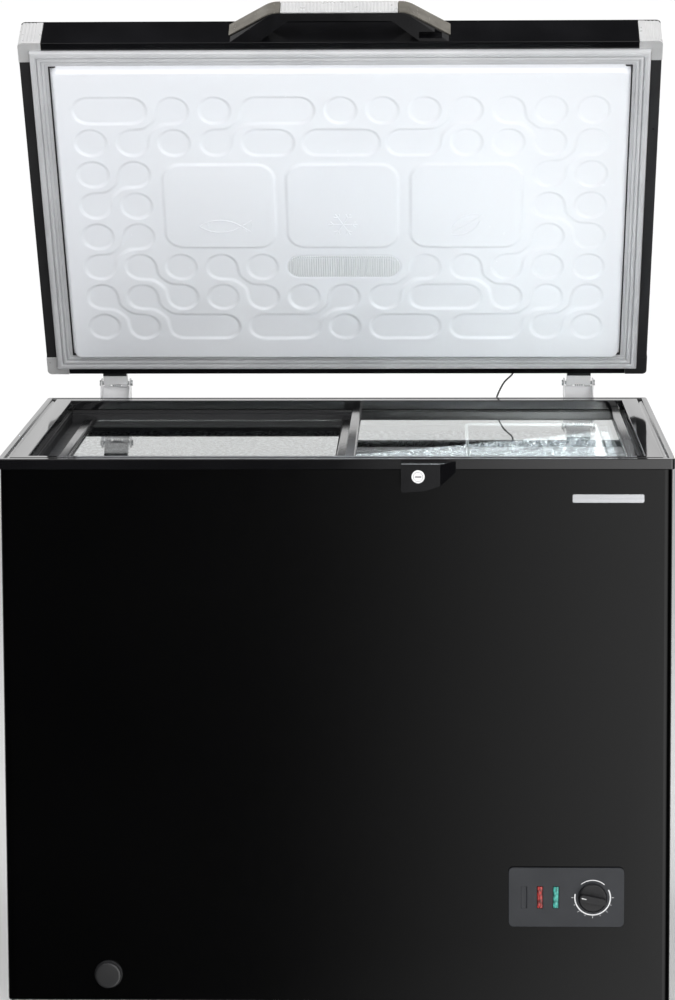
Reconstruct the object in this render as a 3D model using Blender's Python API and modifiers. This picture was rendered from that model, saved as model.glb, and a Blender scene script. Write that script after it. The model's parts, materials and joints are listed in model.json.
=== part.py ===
"""Chest freezer with a hinged lid, two sliding inner glass lids and a hanging basket.

Metres, +Z up, X across the front, +Y towards the rear. Heights are measured from the floor and
depths from the front of the top rim; the whole model then shifts so that the origin is the
centre of its footprint.
"""
import math

import bmesh
import bpy
from mathutils import Matrix, Vector

# ---------------------------------------------------------------- driving dimensions
GAP = 0.0003  # clearance between pieces that rest on each other
STEEL = 0.001  # sheet of the outer case

RIM_WIDTH = 0.9455
RIM_DEPTH = 0.620
RIM_TOP = 0.795
RIM_HEIGHT = 0.015
RIM_SIDE = 0.04075  # width of the rim seen from above, at the sides
RIM_FRONT = 0.030
RIM_REAR = 0.034
RIM_LIP = 0.0086  # outer ledge of the rim, as far as its groove
RIM_GROOVE = 0.007
CASE_INSET = 0.0025  # the rim overhangs the case by this much
CASE_CORNER = 0.012
BASE_Z = 0.016  # underside of the cabinet, above the floor

TUB_HALF = 0.410  # inside half width of the tub
TUB_FRONT = 0.064
TUB_REAR = 0.552
TUB_FLOOR = 0.095
STEP_X = 0.190  # the tub steps up over the compressor from here to the right wall
STEP_TOP = 0.360
LINER = 0.0008
BAY_X = 0.245  # the compressor bay fills the lower right corner from here outwards
BAY_TOP = 0.310

TRACK_TOP = RIM_TOP - RIM_HEIGHT - GAP
UPPER_LEDGE = RIM_TOP - 0.020  # the right glass lid slides here
LOWER_LEDGE = RIM_TOP - 0.033  # and the left one here
BASKET_LEDGE = RIM_TOP - 0.0395
TRACK_BOTTOM = RIM_TOP - 0.047
LEDGE = 0.011  # depth of one glass ledge
BASKET_LIP = 0.008
BASKET_X = (0.185, 0.395)
BASKET_Z = 0.575
GLASS = 0.004
GLASS_LENGTH = 0.411
LEFT_GLASS_X = -0.404
RIGHT_GLASS_X = 0.013
STRIP_WIDTH = 0.0145
STRIP_RISE = 0.006

LID_OPEN = math.radians(58.2)  # how far the lid stands open at rest
LID_GAP = 0.008  # between the rim and the closed lid, filled by the gasket
LID_HEIGHT = 0.056
LID_FRONT = -0.006
LID_REAR = 0.622
LID_Z = RIM_TOP + LID_GAP
LID_TOP = LID_Z + LID_HEIGHT
CAP_LEG = 0.034  # a corner cap covers this much of each edge
BULGE_DROP = 0.0148  # the lid liner stands this far below the lid's frame
BULGE_HALF = 0.4255
BULGE_FRONT = LID_FRONT + 0.0422
BULGE_REAR = LID_REAR - 0.0428
LAMP_Y = LID_REAR - 0.225
PIVOT_Y = RIM_DEPTH + 0.0293
PIVOT_Z = RIM_TOP + 0.0194

HANDLE_REACH = 0.040
HANDLE_TOP = 0.047  # heights of the handle and its trim above the lid's underside
TRIM_LOW = 0.0185
TRIM = 0.002

HINGE_X = 0.3668
PIN_R = 0.003
PIN_HOLE_R = 0.00315

LOCK_PROUD = 0.028
BARREL_PROUD = 0.0018
LOCK_X = 0.1153
LOCK_Z = 0.7746
CAM_Y = -0.0152
CAM_REACH = 0.034

PANEL_X = 0.323
PANEL_Z = 0.170
PANEL_SIZE = (0.163, 0.0855)
PANEL_FRONT = CASE_INSET - 0.0043
KNOB_X = 0.360
KNOB_R = 0.0205
KNOB_TURN = math.radians(102)  # how far the grip is turned from upright
LAMPS_X = (0.2633, 0.2858, 0.3083)  # blank slot, red lamp, green lamp

DRAIN_X = -0.3255
DRAIN_Y = 0.110  # where the drain tube meets the tub's floor
DRAIN_Z = 0.0555
CABLE_X = (0.231, 0.262)  # where the lamp cable leaves the cabinet, and where it enters the lid
COMPRESSOR_X = 0.350
COMPRESSOR_Y = 0.370
GRILLE_LOW = (0.230, 0.075)  # depth and height of the opening behind the side grille
GRILLE_HIGH = (0.510, 0.265)
COVER_LOW = (0.262, 0.060)  # width and height of the rear cover
COVER_HIGH = (0.455, 0.290)

EVAPORATOR_ROOM = 0.008  # space left in the foam for the tube wound round the tub
COIL_LOW = 0.42
COIL_HIGH = 0.70
COIL_TURNS = 5
COIL_START_Y = 0.30

CASE_HALF = RIM_WIDTH / 2 - CASE_INSET
CASE_TOP = RIM_TOP - RIM_HEIGHT - GAP
CASE_REAR = RIM_DEPTH - CASE_INSET

# The model is centred on its footprint: from the lock's face to the open lid's rear edge.
FRONT_REACH = -LOCK_PROUD - BARREL_PROUD
REAR_REACH = (
    PIVOT_Y
    + (LID_REAR - PIVOT_Y) * math.cos(LID_OPEN)
    + (LID_TOP - PIVOT_Z) * math.sin(LID_OPEN)
)
CENTRE_Y = (FRONT_REACH + REAR_REACH) / 2

# local outline axes to the model's axes, for an outline that is extruded along X, Y or Z
TURNS = {
    "x": Matrix(((0, 0, 1, 0), (1, 0, 0, 0), (0, 1, 0, 0), (0, 0, 0, 1))),
    "y": Matrix(((1, 0, 0, 0), (0, 0, -1, 0), (0, 1, 0, 0), (0, 0, 0, 1))),
    "z": Matrix.Identity(4),
}

FINISHES = {
    "gloss_black": ((0.008, 0.008, 0.009), 0.12, 0.0),
    "satin_black": ((0.02, 0.02, 0.022), 0.4, 0.0),
    "dark_grey": ((0.07, 0.07, 0.075), 0.4, 0.0),
    "silver": ((0.62, 0.62, 0.63), 0.3, 0.8),
    "chrome": ((0.8, 0.8, 0.8), 0.08, 1.0),
    "zinc": ((0.5, 0.51, 0.52), 0.35, 1.0),
    "aluminium": ((0.7, 0.71, 0.72), 0.35, 1.0),
    "copper": ((0.7, 0.36, 0.22), 0.3, 1.0),
    "white": ((0.83, 0.85, 0.88), 0.35, 0.0),
    "grey_rubber": ((0.5, 0.5, 0.5), 0.7, 0.0),
    "foam": ((0.75, 0.62, 0.4), 0.9, 0.0),
    "glass": ((0.85, 0.92, 0.92), 0.05, 0.0),
    "red": ((0.6, 0.03, 0.02), 0.3, 0.0),
    "green": ((0.02, 0.45, 0.4), 0.3, 0.0),
}


# ---------------------------------------------------------------- helpers
def clear_scene():
    for obj in list(bpy.data.objects):
        bpy.data.objects.remove(obj, do_unlink=True)


def collection(name):
    group = bpy.data.collections.new(name)
    bpy.context.scene.collection.children.link(group)
    return group


def empty(name, location, parent=None):
    obj = bpy.data.objects.new(name, None)
    obj.location = location
    obj.parent = parent
    PARTS.objects.link(obj)
    return obj


def finish(name, kind):
    """A material of the part's own, from one of the named finishes."""
    colour, roughness, metallic = FINISHES[kind]
    material = bpy.data.materials.new(name + "_" + kind)
    material.use_nodes = True
    shader = material.node_tree.nodes["Principled BSDF"]
    shader.inputs["Base Color"].default_value = (*colour, 1.0)
    shader.inputs["Roughness"].default_value = roughness
    shader.inputs["Metallic"].default_value = metallic
    return material


def part(name, mesh, kind, parent, smooth=False):
    """A named sub-part with its own material."""
    obj = bpy.data.objects.new(name, mesh)
    obj.parent = parent
    mesh.materials.append(finish(name, kind))
    if smooth:
        mesh.shade_smooth()
        mesh.set_sharp_from_angle(angle=math.radians(35))
    PARTS.objects.link(obj)
    return obj


def cutter(mesh, parent):
    """A body that only cuts or extends its neighbours."""
    obj = bpy.data.objects.new(mesh.name, mesh)
    obj.parent = parent
    obj.hide_render = True
    obj.display_type = "WIRE"
    CUTTERS.objects.link(obj)
    return obj


def boolean(obj, mesh, operation="DIFFERENCE"):
    modifier = obj.modifiers.new(mesh.name, "BOOLEAN")
    modifier.operation = operation
    modifier.solver = "EXACT"
    modifier.object = cutter(mesh, obj.parent)


def mesh_of(bm, name):
    bmesh.ops.recalc_face_normals(bm, faces=bm.faces)
    mesh = bpy.data.meshes.new(name)
    bm.to_mesh(mesh)
    bm.free()
    return mesh


def add_block(bm, low, high):
    middle = (Vector(low) + Vector(high)) / 2
    size = Vector(high) - Vector(low)
    matrix = Matrix.Translation(middle) @ Matrix.Diagonal((*size, 1.0))
    return bmesh.ops.create_cube(bm, size=1.0, matrix=matrix)["verts"]


def block(name, *corners):
    """A box, or several separate ones, each from its lowest and its highest corner."""
    bm = bmesh.new()
    for low, high in zip(corners[::2], corners[1::2]):
        add_block(bm, low, high)
    return mesh_of(bm, name)


def tapered_block(name, low, high, draft):
    """A box whose lower face is drawn in by the draft."""
    bm = bmesh.new()
    middle = (Vector(low) + Vector(high)) / 2
    for vert in add_block(bm, low, high):
        if vert.co.z < middle.z:
            vert.co.x -= math.copysign(draft, vert.co.x - middle.x)
            vert.co.y -= math.copysign(draft, vert.co.y - middle.y)
    return mesh_of(bm, name)


def rods(name, ends, radius, sides=16):
    """Round rods, one for each pair of end points."""
    bm = bmesh.new()
    for start, end in ends:
        start, end = Vector(start), Vector(end)
        turn = Vector((0, 0, 1)).rotation_difference(end - start).to_matrix().to_4x4()
        matrix = Matrix.Translation((start + end) / 2) @ turn
        bmesh.ops.create_cone(
            bm, cap_ends=True, segments=sides, radius1=radius, radius2=radius,
            depth=(end - start).length, matrix=matrix,
        )
    return mesh_of(bm, name)


def rectangle(low_u, low_v, high_u, high_v):
    return [(low_u, low_v), (high_u, low_v), (high_u, high_v), (low_u, high_v)]


def filleted(points, radii, steps=4, closed=True):
    """A polygon or an open path with its corners rounded; radii is one value or one a corner."""
    if not isinstance(radii, (list, tuple)):
        radii = [radii] * len(points)
    result = []
    last = len(points) - 1
    for i, (point, radius) in enumerate(zip(points, radii)):
        if radius == 0 or (not closed and i in (0, last)):
            result.append(point)
            continue
        corner = Vector(point)
        before = (Vector(points[i - 1]) - corner).normalized()
        after = (Vector(points[(i + 1) % len(points)]) - corner).normalized()
        half = before.angle(after) / 2
        centre = corner + (before + after).normalized() * radius / math.sin(half)
        start = corner + before * radius / math.tan(half) - centre
        end = corner + after * radius / math.tan(half) - centre
        turn = start.angle_signed(end)
        for k in range(steps + 1):
            spoke = start.copy()
            spoke.rotate(Matrix.Rotation(-turn * k / steps, 2))
            result.append(tuple(centre + spoke))
    return result


def curve_mesh(curve):
    """The mesh of a curve, with its caps welded on."""
    guide = bpy.data.objects.new(curve.name, curve)
    bpy.context.scene.collection.objects.link(guide)
    bpy.context.view_layer.update()
    shown = guide.evaluated_get(bpy.context.evaluated_depsgraph_get())
    mesh = bpy.data.meshes.new_from_object(shown)
    bm = bmesh.new()
    bm.from_mesh(mesh)
    bmesh.ops.remove_doubles(bm, verts=bm.verts, dist=0.00001)
    name = curve.name
    bpy.data.objects.remove(guide, do_unlink=True)
    bpy.data.meshes.remove(mesh)
    return mesh_of(bm, name)


def outline(name, loops, start, end, along="z"):
    """A flat outline, whose later loops are holes, extruded from start to end."""
    curve = bpy.data.curves.new(name, "CURVE")
    curve.dimensions = "2D"
    curve.fill_mode = "BOTH"
    curve.extrude = (end - start) / 2
    for points in loops:
        spline = curve.splines.new("POLY")
        spline.points.add(len(points) - 1)
        for target, (u, v) in zip(spline.points, points):
            target.co = (u, v, 0.0, 1.0)
        spline.use_cyclic_u = True
    mesh = curve_mesh(curve)
    shift = [0.0, 0.0, 0.0]
    shift["xyz".index(along)] = (start + end) / 2
    mesh.transform(Matrix.Translation(shift) @ TURNS[along])
    return mesh


def tube(name, points, radius, bevel=2):
    curve = bpy.data.curves.new(name, "CURVE")
    curve.dimensions = "3D"
    curve.bevel_depth = radius
    curve.bevel_resolution = bevel
    curve.use_fill_caps = True
    spline = curve.splines.new("POLY")
    spline.points.add(len(points) - 1)
    for target, point in zip(spline.points, points):
        target.co = (*point, 1.0)
    return curve_mesh(curve)


def turned(name, profile, kind, parent, location, steps=20):
    """A profile of (radius, height) points, top to bottom, turned about the object's Z axis."""
    bm = bmesh.new()
    verts = [bm.verts.new((radius, 0.0, height)) for radius, height in profile]
    for first, second in zip(verts, verts[1:]):
        bm.edges.new((first, second))
    mesh = bpy.data.meshes.new(name)
    bm.to_mesh(mesh)
    bm.free()
    obj = part(name, mesh, kind, parent)
    obj.location = location
    screw = obj.modifiers.new("turn", "SCREW")
    screw.steps = steps
    screw.render_steps = steps
    screw.use_merge_vertices = True
    screw.merge_threshold = 0.0001
    screw.use_smooth_shade = True
    return obj


def smooth_path(points, count):
    """Points along a Catmull-Rom curve through the given ones."""
    knots = [Vector(p) for p in points]
    knots = [2 * knots[0] - knots[1]] + knots + [2 * knots[-1] - knots[-2]]
    spans = len(points) - 1
    path = []
    for k in range(count + 1):
        place = min(k * spans / count, spans - 1e-9)
        i = int(place)
        t = place - i
        a, b, c, d = knots[i : i + 4]
        path.append(
            (2 * b + (c - a) * t + (2 * a - 5 * b + 4 * c - d) * t * t
             + (3 * b - a - 3 * c + d) * t ** 3) / 2
        )
    return path


# ---------------------------------------------------------------- cabinet
def outer_case():
    """One steel sheet wrapped round the left side, the front and the right side."""
    rear = CASE_REAR - 0.0015
    inner = CASE_HALF - STEEL
    outside = filleted(
        [(-CASE_HALF, rear), (-CASE_HALF, CASE_INSET), (CASE_HALF, CASE_INSET), (CASE_HALF, rear)],
        CASE_CORNER, closed=False,
    )
    inside = filleted(
        [(-inner, rear), (-inner, CASE_INSET + STEEL), (inner, CASE_INSET + STEEL), (inner, rear)],
        CASE_CORNER - STEEL, closed=False,
    )
    loop = outside + inside[::-1]
    case = part(
        "outer_case", outline("outer_case", [loop], BASE_Z + 0.0015, CASE_TOP), "gloss_black",
        CABINET, smooth=True,
    )
    wide, high = PANEL_SIZE
    boolean(case, block(
        "panel_opening",
        (PANEL_X - wide / 2 + 0.008, -0.02, PANEL_Z - high / 2 + 0.008),
        (PANEL_X + wide / 2 - 0.008, 0.02, PANEL_Z + high / 2 - 0.008),
    ))
    boolean(case, block(
        "grille_opening", (0.40, *GRILLE_LOW), (0.50, *GRILLE_HIGH),
    ))
    boolean(case, rods(
        "drain_opening", [((DRAIN_X, -0.02, DRAIN_Z), (DRAIN_X, 0.02, DRAIN_Z))], 0.0115,
    ))


def rear_panel():
    """The flat steel back, open where the rear cover closes the compressor bay."""
    back = rectangle(-CASE_HALF, BASE_Z + 0.0015, CASE_HALF, CASE_TOP)
    opening = rectangle(COVER_LOW[0] + 0.01, COVER_LOW[1] + 0.01,
                        COVER_HIGH[0] - 0.01, COVER_HIGH[1] - 0.01)
    mesh = outline("rear_panel", [back, opening], CASE_REAR - 0.0012, CASE_REAR, "y")
    part("rear_panel", mesh, "gloss_black", CABINET)


def base_pan():
    loop = filleted(
        rectangle(-CASE_HALF, CASE_INSET, CASE_HALF, CASE_REAR),
        [CASE_CORNER, CASE_CORNER, 0, 0],
    )
    mesh = outline("base_pan", [loop], BASE_Z, BASE_Z + 0.0012)
    part("base_pan", mesh, "zinc", CABINET)


def feet():
    """Four moulded feet that the cabinet stands on."""
    reach = CASE_HALF - 0.065
    top = BASE_Z - GAP
    for side, x in (("left", -reach), ("right", reach)):
        for end, y in (("front", 0.065), ("rear", RIM_DEPTH - 0.065)):
            bm = bmesh.new()
            bmesh.ops.create_cone(
                bm, cap_ends=True, segments=16, radius1=0.018, radius2=0.021, depth=top,
                matrix=Matrix.Translation((x, y, top / 2)),
            )
            name = f"foot_{end}_{side}"
            part(name, mesh_of(bm, name), "satin_black", CABINET, True)


def tub_section(wall):
    """The tub's section across the width, grown by a wall; it is open well above the tub."""
    half = TUB_HALF + wall
    top = TRACK_BOTTOM - GAP
    return [
        (-half, top), (-half, TUB_FLOOR - wall), (STEP_X + wall, TUB_FLOOR - wall),
        (STEP_X + wall, STEP_TOP - wall), (half, STEP_TOP - wall), (half, top),
    ]


def raised(section, height):
    """The same section with its two top corners lifted, for a cutter."""
    return [(section[0][0], height), *section[1:-1], (section[-1][0], height)]


def inner_liner():
    """The embossed aluminium tub, with its step over the compressor and a drain hole."""
    section = tub_section(LINER)
    liner = part(
        "inner_liner",
        outline("inner_liner", [section], TUB_FRONT - LINER, TUB_REAR + LINER, "y"),
        "aluminium", CABINET,
    )
    inside = raised(tub_section(0), RIM_TOP)
    boolean(liner, outline("liner_inside", [inside], TUB_FRONT, TUB_REAR, "y"))
    boolean(liner, rods(
        "liner_drain", [((DRAIN_X, DRAIN_Y, 0.08), (DRAIN_X, DRAIN_Y, 0.11))], 0.0095,
    ))


def insulation_foam():
    """The foamed-in-place core between the case and the tub, in one body."""
    skin = CASE_HALF - STEEL - GAP
    foam = part("insulation_foam", block(
        "insulation_foam",
        (-skin + 0.0055, CASE_INSET + STEEL + GAP, BASE_Z + 0.0015),
        (skin, CASE_REAR - 0.0012 - GAP, CASE_TOP),
    ), "foam", CABINET)
    boolean(foam, corner_rounds(skin))
    wall = LINER + GAP
    tub = raised(tub_section(wall), RIM_TOP + 0.02)
    boolean(foam, outline("foam_tub", [tub], TUB_FRONT - wall, TUB_REAR + wall, "y"))
    band = LINER + EVAPORATOR_ROOM
    boolean(foam, block(
        "foam_evaporator", (-TUB_HALF - band, TUB_FRONT - band, COIL_LOW - 0.015),
        (TUB_HALF + band, TUB_REAR + band, COIL_HIGH + 0.015),
    ))
    side = RIM_WIDTH / 2 - RIM_SIDE
    boolean(foam, block(
        "foam_track", (-side, RIM_FRONT, TRACK_BOTTOM - GAP),
        (side, RIM_DEPTH - RIM_REAR, RIM_TOP + 0.02),
    ))
    boolean(foam, block("foam_bay", (BAY_X, -0.05, -0.05), (0.6, 0.7, BAY_TOP)))
    boolean(foam, block(
        "foam_duct", (TUB_HALF + LINER + 0.0006, COIL_START_Y - 0.010, BAY_TOP - 0.01),
        (TUB_HALF + band, COIL_START_Y + 0.010, COIL_LOW + 0.01),
    ))
    boolean(foam, block(
        "foam_drain", (DRAIN_X - 0.0112, -0.05, DRAIN_Z - 0.0112),
        (DRAIN_X + 0.0112, DRAIN_Y + 0.0112, DRAIN_Z + 0.0112),
    ))
    boolean(foam, block(
        "foam_drain_rise", (DRAIN_X - 0.0099, DRAIN_Y - 0.0099, DRAIN_Z),
        (DRAIN_X + 0.0099, DRAIN_Y + 0.0099, TUB_FLOOR + 0.02),
    ))


def corner_rounds(skin):
    """Trims the foam's square front corners to stay inside the rounded case."""
    bm = bmesh.new()
    for side in (-1, 1):
        turn = Matrix.Rotation(math.radians(45), 4, "Z")
        matrix = Matrix.Translation((side * skin, CASE_INSET + STEEL, 0.4)) @ turn
        matrix = matrix @ Matrix.Diagonal((0.0170, 0.0170, 1.2, 1.0))
        bmesh.ops.create_cube(bm, size=1.0, matrix=matrix)
    return mesh_of(bm, "foam_corners")


def evaporator_coil():
    """Refrigerant tube wound round the outside of the tub, in the foam."""
    reach = LINER + EVAPORATOR_ROOM / 2
    x = TUB_HALF + reach
    front = TUB_FRONT - reach
    rear = TUB_REAR + reach
    ring = filleted(
        [(x, COIL_START_Y), (x, rear), (-x, rear), (-x, front), (x, front)],
        [0, 0.004, 0.004, 0.004, 0.004], steps=1,
    )
    lengths = [0.0]
    for first, second in zip(ring, ring[1:] + ring[:1]):
        lengths.append(lengths[-1] + math.dist(first, second))
    pitch = (COIL_HIGH - COIL_LOW) / COIL_TURNS
    points = [(x, COIL_START_Y, BAY_TOP - 0.03)]
    for turn in range(COIL_TURNS):
        for (px, py), run in zip(ring, lengths):
            points.append((px, py, COIL_LOW + pitch * (turn + run / lengths[-1])))
    part("evaporator_coil", tube("evaporator_coil", points, 0.003, 1), "copper", CABINET, True)


def condenser_coil():
    """Serpentine tube against the inside of the left side panel, which gives off the heat."""
    x = -CASE_HALF + STEEL + 0.0030
    rows = 6
    low, high = 0.12, 0.66
    front, rear = 0.06, 0.56
    points = []
    for row in range(rows):
        z = low + (high - low) * row / (rows - 1)
        ends = (front, rear) if row % 2 == 0 else (rear, front)
        points += [(x, ends[0], z), (x, ends[1], z)]
    points = [(x, *p) for p in filleted([p[1:] for p in points], 0.03, 3, closed=False)]
    part("condenser_coil", tube("condenser_coil", points, 0.0024, 1), "copper", CABINET, True)


def rim_frame():
    """The moulded top rim: an outer ledge, a groove and a wide ledge for the gasket."""
    half = RIM_WIDTH / 2
    outer = filleted(rectangle(-half, 0, half, RIM_DEPTH), 0.006)
    side = half - RIM_SIDE
    inner = rectangle(-side, RIM_FRONT, side, RIM_DEPTH - RIM_REAR)
    rim = part("rim_frame", outline("rim_frame", [outer, inner], RIM_TOP - RIM_HEIGHT, RIM_TOP),
               "gloss_black", CABINET, smooth=True)
    grooves = [
        rectangle(-half + inset, inset, half - inset, RIM_DEPTH - inset)
        for inset in (RIM_LIP, RIM_LIP + RIM_GROOVE)
    ]
    boolean(rim, outline("rim_groove", grooves, RIM_TOP - 0.003, RIM_TOP + 0.01))


def track_frame():
    """The ledges inside the rim: two heights for the glass lids and a lower one for the basket."""
    side = RIM_WIDTH / 2 - RIM_SIDE - GAP
    front = RIM_FRONT + GAP
    rear = RIM_DEPTH - RIM_REAR - GAP
    outer = rectangle(-side, front, side, rear)
    inset = 0.002 + 2 * LEDGE + BASKET_LIP
    inner = rectangle(-TUB_HALF + 0.002, front + inset, TUB_HALF - 0.002, rear - inset)
    frame = part("track_frame", outline("track_frame", [outer, inner], TRACK_BOTTOM, TRACK_TOP),
                 "satin_black", CABINET)
    for name, depth, half, height in (
        ("upper_ledge", 0.002, side - 0.002, UPPER_LEDGE),
        ("lower_ledge", 0.002 + LEDGE, side - 0.0025, LOWER_LEDGE),
        ("basket_ledge", 0.002 + 2 * LEDGE, TUB_HALF - 0.0015, BASKET_LEDGE),
    ):
        boolean(frame, block(
            name, (-half, front + depth, height), (half, rear - depth, RIM_TOP + 0.01),
        ))


def compressor():
    """The sealed compressor with its welded foot plate and grommets, and its relay box."""
    plate_z = BASE_Z + 0.017
    low = plate_z + 0.002
    dome = 0.062
    profile = [(0, low + 0.170)]
    for degrees in (70, 45, 20):
        turn = math.radians(degrees)
        profile.append((dome * math.cos(turn), low + 0.120 + 0.050 * math.sin(turn)))
    profile += [(dome, low + 0.085), (dome + 0.004, low + 0.083), (dome + 0.004, low + 0.077)]
    profile += [(dome, low + 0.075), (dome, low + 0.03), (0.045, low), (0, low)]
    shell = turned("compressor", profile, "satin_black", CABINET, (COMPRESSOR_X, COMPRESSOR_Y, 0))
    loop = filleted(rectangle(COMPRESSOR_X - 0.085, COMPRESSOR_Y - 0.065,
                              COMPRESSOR_X + 0.085, COMPRESSOR_Y + 0.065), 0.015, 3)
    boolean(shell, outline("compressor_plate", [loop], plate_z, plate_z + 0.003), "UNION")
    for dx in (-0.07, 0.07):
        for dy in (-0.05, 0.05):
            x, y = COMPRESSOR_X + dx, COMPRESSOR_Y + dy
            boolean(shell, rods(
                f"grommet_{dx}_{dy}", [((x, y, BASE_Z + 0.0015), (x, y, plate_z + 0.001))], 0.011, 12,
            ), "UNION")
    part("start_relay_box", block(
        "start_relay_box", (COMPRESSOR_X - 0.025, COMPRESSOR_Y - 0.105, low + 0.035),
        (COMPRESSOR_X + 0.025, COMPRESSOR_Y - 0.0675, low + 0.085),
    ), "satin_black", CABINET)


def louvred_plate(name, low, high, slots, start, end, along):
    """A plate with a row of long slots and rounded corners."""
    loops = [filleted(rectangle(*low, *high), 0.008, 3)]
    pitch = (high[1] - low[1] - 0.03) / slots
    for k in range(slots):
        v = low[1] + 0.015 + pitch * (k + 0.5)
        loops.append(rectangle(low[0] + 0.02, v - pitch * 0.22, high[0] - 0.02, v + pitch * 0.22))
    return outline(name, loops, start, end, along)


def covers():
    """The side grille and the rear cover of the compressor bay, and the mains cable's gland."""
    out = CASE_HALF + GAP
    low = (GRILLE_LOW[0] - 0.008, GRILLE_LOW[1] - 0.008)
    high = (GRILLE_HIGH[0] + 0.008, GRILLE_HIGH[1] + 0.008)
    part("side_grille", louvred_plate("side_grille", low, high, 9, out, out + 0.0018, "x"),
         "satin_black", CABINET)
    back = CASE_REAR + GAP
    part("rear_cover", louvred_plate("rear_cover", COVER_LOW, COVER_HIGH, 7, back, back + 0.002, "y"),
         "satin_black", CABINET)
    profile = [(0, 0.014), (0.005, 0.014), (0.007, 0.004), (0.012, 0.003), (0.012, 0), (0, 0)]
    gland = turned("cable_gland", profile, "satin_black", CABINET, (0.21, back, 0.075), 16)
    gland.rotation_euler = (math.radians(-90), 0, 0)


def control_panel():
    """Bezel at the lower right of the front, with two lamps, a blank slot and the thermostat."""
    wide, high = PANEL_SIZE
    back = CASE_INSET - GAP
    loop = filleted(
        rectangle(PANEL_X - wide / 2, PANEL_Z - high / 2, PANEL_X + wide / 2, PANEL_Z + high / 2),
        0.007,
    )
    panel = part("control_panel", outline("control_panel", [loop], PANEL_FRONT, back, "y"),
                 "dark_grey", CABINET, True)
    slots = [(x - 0.0040, x + 0.0040) for x in LAMPS_X]
    for index, (low, high_x) in enumerate(slots):
        depth = PANEL_FRONT + 0.0015 if index == 0 else 0.01
        boolean(panel, block(
            f"panel_slot_{index}", (low, -0.02, PANEL_Z - 0.0158), (high_x, depth, PANEL_Z + 0.0158),
        ))
    boolean(panel, rods(
        "panel_shaft_hole", [((KNOB_X, -0.02, PANEL_Z), (KNOB_X, 0.02, PANEL_Z))], 0.0045,
    ))
    for name, x in (("lamp_red", LAMPS_X[1]), ("lamp_green", LAMPS_X[2])):
        part(name, block(
            name, (x - 0.0037, PANEL_FRONT - 0.0006, PANEL_Z - 0.0155),
            (x + 0.0037, 0.012, PANEL_Z + 0.0155),
        ), name.split("_")[1], CABINET)


def thermostat():
    """The thermostat behind the panel, and the knob that turns on its shaft."""
    body = part("thermostat_body", block(
        "thermostat_body", (KNOB_X - 0.018, 0.006, PANEL_Z - 0.020),
        (KNOB_X + 0.018, 0.034, PANEL_Z + 0.020),
    ), "zinc", CABINET)
    boolean(body, rods(
        "thermostat_shaft",
        [((KNOB_X, PANEL_FRONT - 0.008, PANEL_Z), (KNOB_X, 0.010, PANEL_Z))], 0.003, 12,
    ), "UNION")
    profile = [(0, 0.005), (0.0185, 0.005), (KNOB_R, 0.0035), (KNOB_R, 0), (0, 0)]
    knob = turned("thermostat_knob", profile, "satin_black", CABINET,
                  (KNOB_X, PANEL_FRONT - 0.0005, PANEL_Z), 24)
    knob.rotation_euler = (math.radians(90), KNOB_TURN, 0)
    knob.modifiers["turn"].use_smooth_shade = False
    grip = outline("knob_grip", [filleted(rectangle(-0.0048, -0.0185, 0.0048, 0.0185), 0.004, 2)],
                   0.0042, 0.0155)
    boolean(knob, grip, "UNION")
    bore = rods("knob_bore", [((0, 0, -0.01), (0, 0, 0.0085))], 0.0036, 12)
    boolean(knob, bore)
    for modifier in list(knob.modifiers)[1:]:
        modifier.object.parent = knob


def drain():
    """The drain: a socket on the front, its pull-off cap and the tube from the tub's floor."""
    front = CASE_INSET - GAP
    socket_profile = [
        (0.0200, 0.0035), (0.0200, 0), (0.0105, 0), (0.0105, -0.012), (0.0085, -0.012),
        (0.0085, 0.0035), (0.0200, 0.0035),
    ]
    socket = turned("drain_socket", socket_profile, "satin_black", CABINET,
                    (DRAIN_X, front, DRAIN_Z), 24)
    socket.rotation_euler = (math.radians(90), 0, 0)
    cap_profile = [
        (0, 0.0105), (0.0150, 0.0105), (0.0180, 0.0095), (0.0190, 0.0065), (0.0190, 0.0038),
        (0.0080, 0.0038), (0.0080, -0.004), (0, -0.004),
    ]
    cap = turned("drain_cap", cap_profile, "dark_grey", CABINET, (DRAIN_X, front, DRAIN_Z), 24)
    cap.rotation_euler = (math.radians(90), 0, 0)
    start = front + 0.0123
    path = [(start, DRAIN_Z), (DRAIN_Y, DRAIN_Z), (DRAIN_Y, TUB_FLOOR + 0.0015)]
    points = [(DRAIN_X, *p) for p in filleted(path, 0.012, 4, closed=False)]
    pipe = part("drain_tube", tube("drain_tube", points, 0.0085, 2), "white", CABINET, True)
    inner = [(DRAIN_X, start - 0.01, DRAIN_Z)] + points + [(DRAIN_X, DRAIN_Y, TUB_FLOOR + 0.01)]
    boolean(pipe, tube("drain_bore", inner, 0.0068, 2))


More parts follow.
